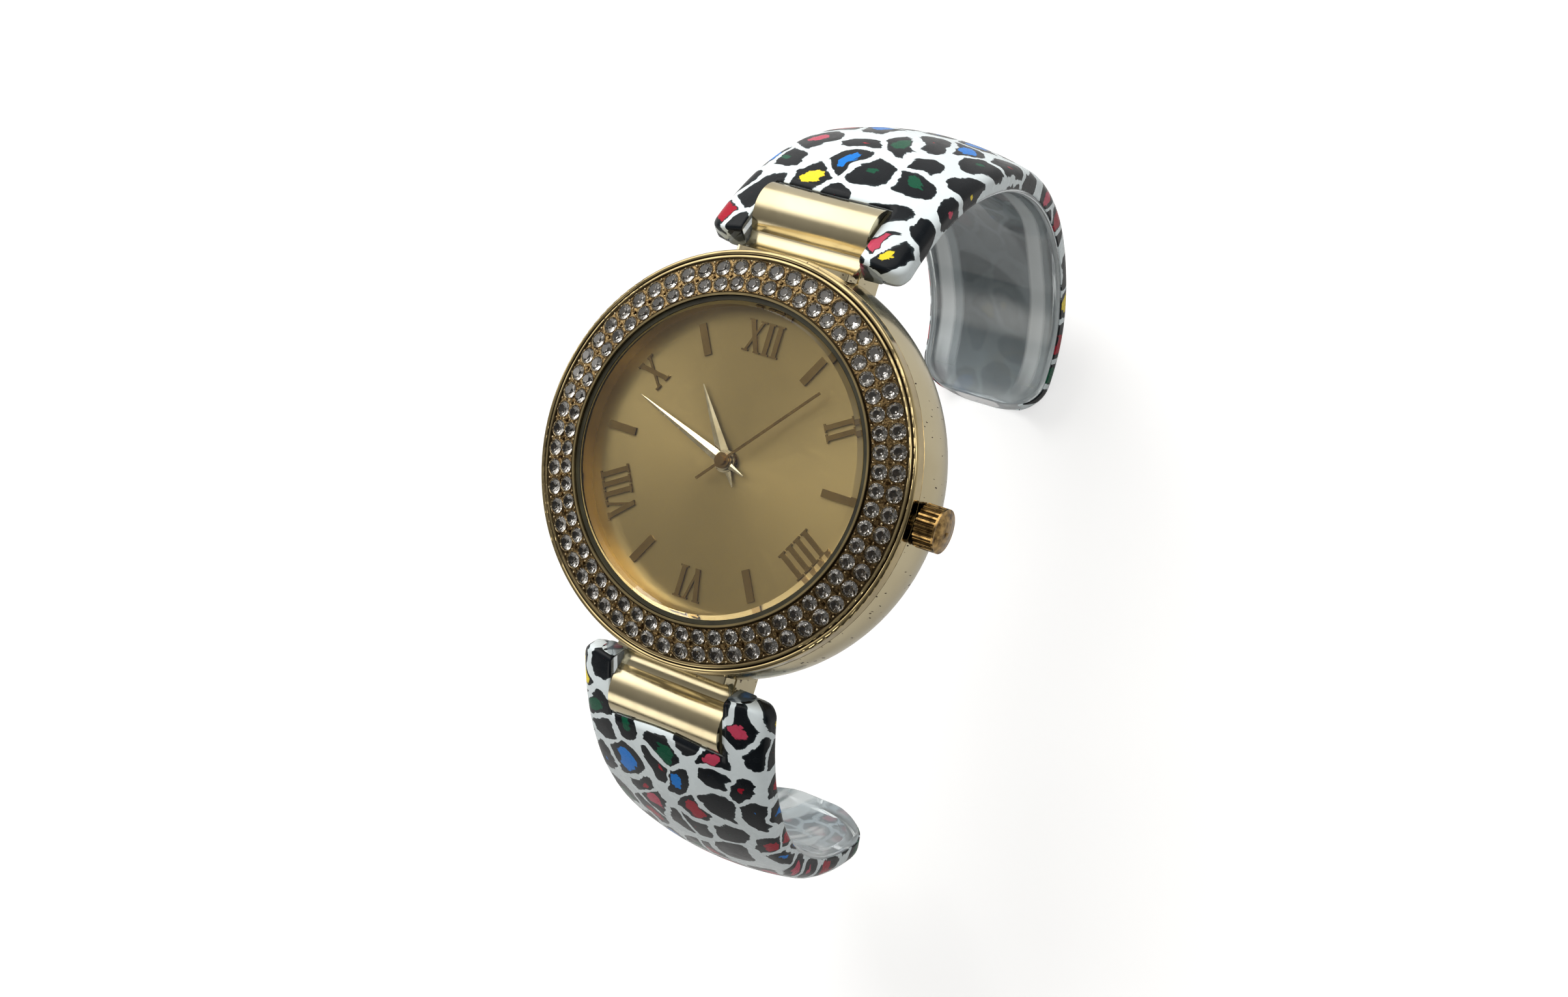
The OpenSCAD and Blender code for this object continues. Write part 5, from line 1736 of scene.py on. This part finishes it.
@dataclass
class HingeCoves:
    """The polished hollow curve between each barrel's neck and the case wall.

    Attributes:
        low: distance from the centre and level where the curve leaves the neck.
        high: distance and level where it meets the case wall.
        back: distance and level of the two straight backs, inside the case and the neck.
        middle: distance and level of the point that the ends close round.
        half: half length along the hinge.
        ends: distances from each end of the sections that round it off.
        pull: share by which the last section is smaller.
    """

    low: Pair = (20.62, 4.53)
    high: Pair = (18.98, 6.5)
    back: Pair = (18.3, 4.2)
    middle: Pair = (18.6, 4.4)
    half: float = 5.9
    ends: tuple[float, ...] = (0.0, 0.02, 0.08, 0.16)
    pull: float = 0.12

    def side(self, sign: int) -> Shape:
        """One cove: a quarter of an ellipse with two straight backs, carried along X.

        Args:
            sign: +1 for the hinge at 12 o'clock, -1 for the one at 6 o'clock.

        Returns:
            The closed surface.
        """
        bow = quarter(15)
        low, high, middle = np.array(self.low), np.array(self.high), np.array(self.middle)
        reach, rise = low[0] - high[0], high[1] - low[1]
        curve = np.stack([low[0] - reach * np.sin(bow), high[1] - rise * np.cos(bow)], axis=-1)
        backs = [[self.back[0], high[1]], self.back, [low[0], self.back[1]]]
        profile = np.concatenate([curve, backs])
        end = np.array(self.ends)
        x = np.concatenate([-self.half + end, np.linspace(-5, 5, 9), self.half - end[::-1]])
        into = np.maximum(1 - (self.half - np.abs(x)) / end[-1], 0.0)
        flat = middle + (profile[None] - middle) * (1 - self.pull * into**2)[:, None, None]
        count = len(profile)
        points = np.concatenate([np.broadcast_to(x[:, None, None], (len(x), count, 1)), flat], axis=-1)
        points = np.concatenate([points.reshape(-1, 3), [[-self.half, *middle], [self.half, *middle]]])
        ring = np.arange(count)
        caps = [fan(ring, len(points) - 2)[:, ::-1], fan((len(x) - 1) * count + ring, len(points) - 1)]
        wall = grid_faces(len(x), count, ring_cols=True)[:, ::-1]
        return Shape(points * [1, sign, 1], [wall] + caps).outward()

    def make(self, gold: Material) -> Piece:
        """Builds both coves as one piece.

        Args:
            gold: the case's gold.

        Returns:
            The piece.
        """
        piece = build("hinge_coves", join([self.side(1), self.side(-1)]), 40.0)
        dress(piece, gold)
        ride(piece, "case", None)
        return piece


# Finishes of the whole watch


@dataclass(frozen=True)
class Finishes:
    """Every finish of the watch, and the nodes that wear each one."""

    case: Metal = Metal(
        "case_gold", rgb(212, 200, 168), rgb(198, 185, 151), (0.14, 0.22), 9.0, 0.001, nicks=0.05
    )
    bezel: CastBed = CastBed()
    rim: Metal = Metal("rehaut_gold", rgb(190, 164, 108), rgb(166, 140, 88), (0.09, 0.13), 4.0, 0.0003)
    lips: Metal = Metal("setting_gold", rgb(218, 202, 166), rgb(112, 86, 52), (0.1, 0.22), 0.7, 0.004)
    # painted shadow: the dark ring round each stone's edge and on the lips' inner side
    setting_shade: Metal = Metal("setting_painted_shade", rgb(40, 31, 20), rgb(24, 19, 13), (0.35, 0.5), 0.8, 0.004)
    dial: Metal = Metal(
        "dial_gold", rgb(174, 152, 102), rgb(167, 144, 93), (0.34, 0.38), 30.0, 0.001, Brush.SUNRAY
    )
    marks: Stamped = Stamped("marker_gold", rgb(168, 138, 84), rgb(148, 118, 68), (0.12, 0.16), 6.0, 0.0003)
    seconds: Metal = Metal("second_gold", rgb(156, 126, 76), rgb(130, 100, 56), (0.14, 0.24), 2.0, 0.001)
    hands: Stamped = Stamped("hand_gold", rgb(232, 218, 182), rgb(216, 198, 156), (0.18, 0.28), 2.0, 0.001)
    crown: Fluted = Fluted("crown_gold", rgb(182, 148, 92), rgb(52, 34, 14), (0.06, 0.15), 0.6, 0.002)
    brass: Metal = Metal(
        "movement_brass", rgb(208, 176, 108), rgb(176, 142, 80), (0.2, 0.34), 2.0, 0.001, Brush.ALONG
    )
    steel: Metal = Metal(
        "movement_steel", rgb(190, 192, 196), rgb(150, 152, 156), (0.2, 0.36), 2.0, 0.001, Brush.ALONG
    )
    back: Metal = Metal(
        "back_steel", rgb(186, 188, 190), rgb(156, 156, 158), (0.22, 0.36), 6.0, 0.002, Brush.ROUND, 0.03
    )
    battery: Metal = Metal(
        "battery_steel", rgb(198, 200, 202), rgb(170, 172, 174), (0.16, 0.28), 2.0, 0.001, Brush.ROUND
    )
    copper: Metal = Metal("coil_copper", rgb(184, 108, 58), rgb(120, 62, 30), (0.2, 0.34), 0.6, 0.006)
    foil: Metal = Metal("stone_foil", rgb(98, 97, 94), rgb(42, 40, 38), (0.04, 0.09), 0.8, 0.0005)
    glass: Clear = Clear("crystal_glass", rgb(247, 248, 246))
    stone: Clear = Clear("stone_glass", rgb(148, 146, 143), 1.62)
    clear: ClearArm = ClearArm()
    clear_low: ClearArm = ClearArm("arm_clear_low", strength=0.1, streaks=0.8)
    nylon: Moulded = Moulded("gasket_olive", rgb(50, 48, 32), rgb(30, 28, 18), (0.3, 0.45))
    spacer: Moulded = Moulded("holder_plastic", rgb(210, 210, 202), rgb(186, 186, 178))
    board: Moulded = Moulded("board_green", rgb(26, 84, 52), rgb(14, 56, 34), (0.2, 0.35))
    seal: Moulded = Moulded("gasket_black", rgb(30, 30, 31), rgb(18, 18, 19))

    WEARERS = {
        "case": ("case_middle", "crown_tube"),
        "bezel": ("bezel",),
        "rim": ("rehaut_ring",),
        "dial": ("dial",),
        "marks": ("hour_markers",),
        "hands": ("hour_hand", "minute_hand"),
        "seconds": ("second_hand",),
        "crown": ("crown",),
        "glass": ("crystal",),
        "nylon": ("crystal_gasket",),
        "spacer": ("movement_holder",),
        "brass": (
            "main_plate", "fifth_wheel", "fourth_wheel", "third_wheel", "centre_wheel", "minute_wheel",
            "hour_wheel", "battery_strap", "upper_hinge_bush", "lower_hinge_bush",
        ),
        "steel": (
            "train_bridge", "rotor", "cannon_pinion", "stator", "movement_screws", "setting_lever",
            "stem", "sliding_pinion", "upper_hinge_pin", "lower_hinge_pin", "upper_hinge_spring",
            "lower_hinge_spring",
        ),
        "copper": ("coil",),
        "battery": ("battery", "quartz_can"),
        "board": ("circuit_board",),
        "seal": ("crown_gasket", "back_gasket"),
        "back": ("case_back",),
    }

    def dress_nodes(self, nodes: dict[str, Piece]) -> None:
        """Gives every CAD node its finish.

        Args:
            nodes: the CAD nodes' objects by name.
        """
        for finish, wearers in self.WEARERS.items():
            material = getattr(self, finish).make()
            for node in wearers:
                dress(nodes[node], material)
                LOG.info("node %s wears %s", node, finish)


# The studio


def stand(thing: Piece, place: Array, right: Array, back: Array) -> None:
    """Puts a camera or lamp into the scene, its axes made exactly square first.

    Args:
        thing: the camera or lamp.
        place: where it stands, in metres.
        right, back: which way its right side and its back face.
    """
    back = back / np.linalg.norm(back)
    right = right - back * (right @ back)
    right = right / np.linalg.norm(right)
    frame = np.eye(4)
    frame[:3, :3] = np.stack([right, np.cross(back, right), back], axis=1)
    frame[:3, 3] = place
    thing.matrix_world = Matrix(frame.tolist())
    bpy.context.scene.collection.objects.link(thing)


@dataclass(frozen=True)
class Lamp:
    """A soft rectangular lamp that looks at the watch: its place and size in metres, its watts."""

    name: str
    place: Triple
    size: Pair
    watts: float

    def make(self) -> None:
        """Builds the lamp, which isn't seen in what shines."""
        data = bpy.data.lights.new(self.name, "AREA")
        data.shape = "RECTANGLE"
        data.size, data.size_y = self.size
        data.energy = self.watts
        lamp = bpy.data.objects.new(self.name, data)
        lamp.visible_glossy = False
        eye = np.array(self.place)
        stand(lamp, eye, np.cross((0.0, 0.0, 1.0), eye), eye)


@dataclass(frozen=True)
class Studio:
    """Pale floor, soft light and the camera at the photograph's viewing angle.

    Attributes:
        floor_level, floor_half: level of the floor and half its width, in millimetres.
        floor_light, floor_mirror: its glow to the camera, and the share of it in what shines.
        eye: the camera's place, in millimetres.
        right, back: the camera's axes in the row frame.
        lens: focal length for a sensor 36 mm wide.
        room: light from the horizon and from overhead.
        lean: how much of that light comes from the side of 6 o'clock and from that of 12.
        lean_across: how much comes from the side away from the crown and from the crown's.
        warmth: colour of the light.
        windows: for each glowing window its direction, the angles from its middle at which its
            glow is full and gone, in degrees, and how bright it is.
        lamps: the lamps.
    """

    floor_level: float = -46.3
    floor_half: float = 3000.0
    floor_light: float = 0.62
    floor_mirror: float = 0.2
    eye: Triple = (91.6965, 7.7128, 174.4249)
    right: Triple = (0.84583, 0.29138, -0.44684)
    back: Triple = (0.45325, 0.04919, 0.89003)
    lens: float = 49.02
    room: Pair = (0.18, 0.36)
    lean: Pair = (0.42, 1.5)
    lean_across: Pair = (1.08, 0.32)
    warmth: Colour = rgb(255, 252, 246)
    windows: tuple[tuple[Triple, float, float, float], ...] = (
        ((-0.45, 0.71, 0.54), 18.0, 46.0, 2.0),
        ((-0.45, -0.80, 0.42), 5.0, 20.0, 1.8),
        ((0.80, 0.45, 0.35), 8.0, 30.0, 0.5),
        ((0.35, 0.25, 0.90), 3.0, 9.0, 5.0),
        ((-0.95, 0.10, 0.40), 3.0, 9.0, 4.0),
        ((0.30, -0.60, 0.75), 3.0, 8.0, 4.0),
    )
    lamps: tuple[Lamp, ...] = (
        Lamp("key", (-0.3, 0.5, 0.6), (0.5, 0.4), 3.8),
        Lamp("fill", (0.6, -0.15, 0.45), (0.4, 0.4), 0.6),
    )

    def camera(self) -> None:
        """Builds the camera."""
        data = bpy.data.cameras.new("view")
        data.sensor_width, data.lens = 36.0, self.lens
        data.clip_start, data.clip_end = 0.005, 20.0
        camera = bpy.data.objects.new("view", data)
        stand(camera, np.array(self.eye) * MM, np.array(self.right), np.array(self.back))
        bpy.context.scene.camera = camera

    def floor(self) -> None:
        """A wide pale floor that the camera and reflections see as near white."""
        corners = np.array([[-1, -1], [1, -1], [1, 1], [-1, 1]]) * self.floor_half
        points = np.c_[corners, np.full(4, self.floor_level)]
        piece = build("floor", Shape(points, [np.array([[0, 1, 2, 3]])]))
        g = Graph("floor_pale")
        path = g.add("LightPath").outputs
        mirrored = g.times(path["Is Glossy Ray"], self.floor_mirror)
        seen = g.most(path["Is Camera Ray"], path["Is Transmission Ray"], mirrored)
        g.shade(
            Base_Color=g.mix(g.cloud(g.place(), 60.0), rgb(186, 186, 186), rgb(182, 182, 182)),
            Roughness=0.9,
            Specular_IOR_Level=0.0,
            Emission_Color=(1.0, 1.0, 1.0, 1.0),
            Emission_Strength=g.times(seen, self.floor_light),
        )
        dress(piece, g.material)

    def world(self) -> None:
        """Soft light from all round: a grey room with wide glowing windows, white to the camera."""
        world = bpy.data.worlds.new("studio")
        bpy.context.scene.world = world
        world.use_nodes = True
        g = Nodes(world.node_tree)
        way = g.add("TexCoord").outputs["Generated"]
        x, y, z = g.parts(way)
        along = g.span(y, (-0.9, 0.9), self.lean)
        across = g.span(x, (-0.5, 0.9), self.lean_across)
        light = g.times(g.span(z, (0.0, 1.0), self.room), along, across)
        for direction, inner, outer, strength in self.windows:
            toward = g.vector("DOT_PRODUCT", way, tuple(np.array(direction) / np.linalg.norm(direction)))
            angles = (math.cos(math.radians(outer)), math.cos(math.radians(inner)))
            light = g.plus(light, g.span(toward, angles, (0.0, strength), smooth=True))
        seen = g.add("LightPath").outputs["Is Camera Ray"]
        back = g.tree.nodes["Background"].inputs
        g.feed(back["Color"], g.mix(seen, self.warmth, (1.0, 1.0, 1.0)))
        g.feed(back["Strength"], g.plus(g.times(light, g.minus(1.0, seen)), seen))

    def make(self) -> None:
        """Sets up the whole studio."""
        self.camera()
        self.floor()
        self.world()
        for lamp in self.lamps:
            lamp.make()
        bpy.context.scene.view_settings.view_transform = "Standard"


# The watch

UPPER_PRINT = SpotPrint("upper_print")
LOWER_PRINT = SpotPrint(
    "lower_print",
    (3.2, 4.3),
    shift=(31.0, 17.0, 0.0),
    # painted shade: the lower arm's inner side, a lighter grey
    back=rgb(104, 118, 130),
    ghost=0.4,
    fading=(60.0, 90.0),
)


def main() -> None:
    """Builds every piece of the watch round the frame, then the studio."""
    logging.basicConfig(level=logging.INFO, format="%(name)s: %(message)s")
    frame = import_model()
    finishes = Finishes()
    finishes.dress_nodes(frame["nodes"])
    upper_bends = (Bend(30.1, 110.7), Bend(15.8, 51.5))
    upper = Arm("upper_arm", "upper_arm_body", 1, 29.1, upper_bends, 4.2, UPPER_PRINT)
    lower = Arm("lower_arm", "lower_arm_body", -1, 24.4, (Bend(32.0, 91.1),), 6.4, LOWER_PRINT)
    pieces = upper.make(finishes.clear.make()) + lower.make(finishes.clear_low.make())
    # painted shadow round the stones' edges and on the lips' inner side
    setting_shade = finishes.setting_shade.make()
    cut = (finishes.stone.make(), finishes.foil.make(), setting_shade)
    rows = (StoneRow("outer_stones", 17.3, 0.74, 11), StoneRow("inner_stones", 15.78, 0.68, 12))
    pieces += [row.make(*cut) for row in rows]
    pieces.append(HingeCoves().make(finishes.case.make()))
    pieces.append(Settings(rows).make(finishes.lips.make(), setting_shade))
    for piece in pieces:
        LOG.info("piece %s: %d faces", piece.name, len(piece.data.polygons))
    Studio().make()


if __name__ == "__main__":
    main()
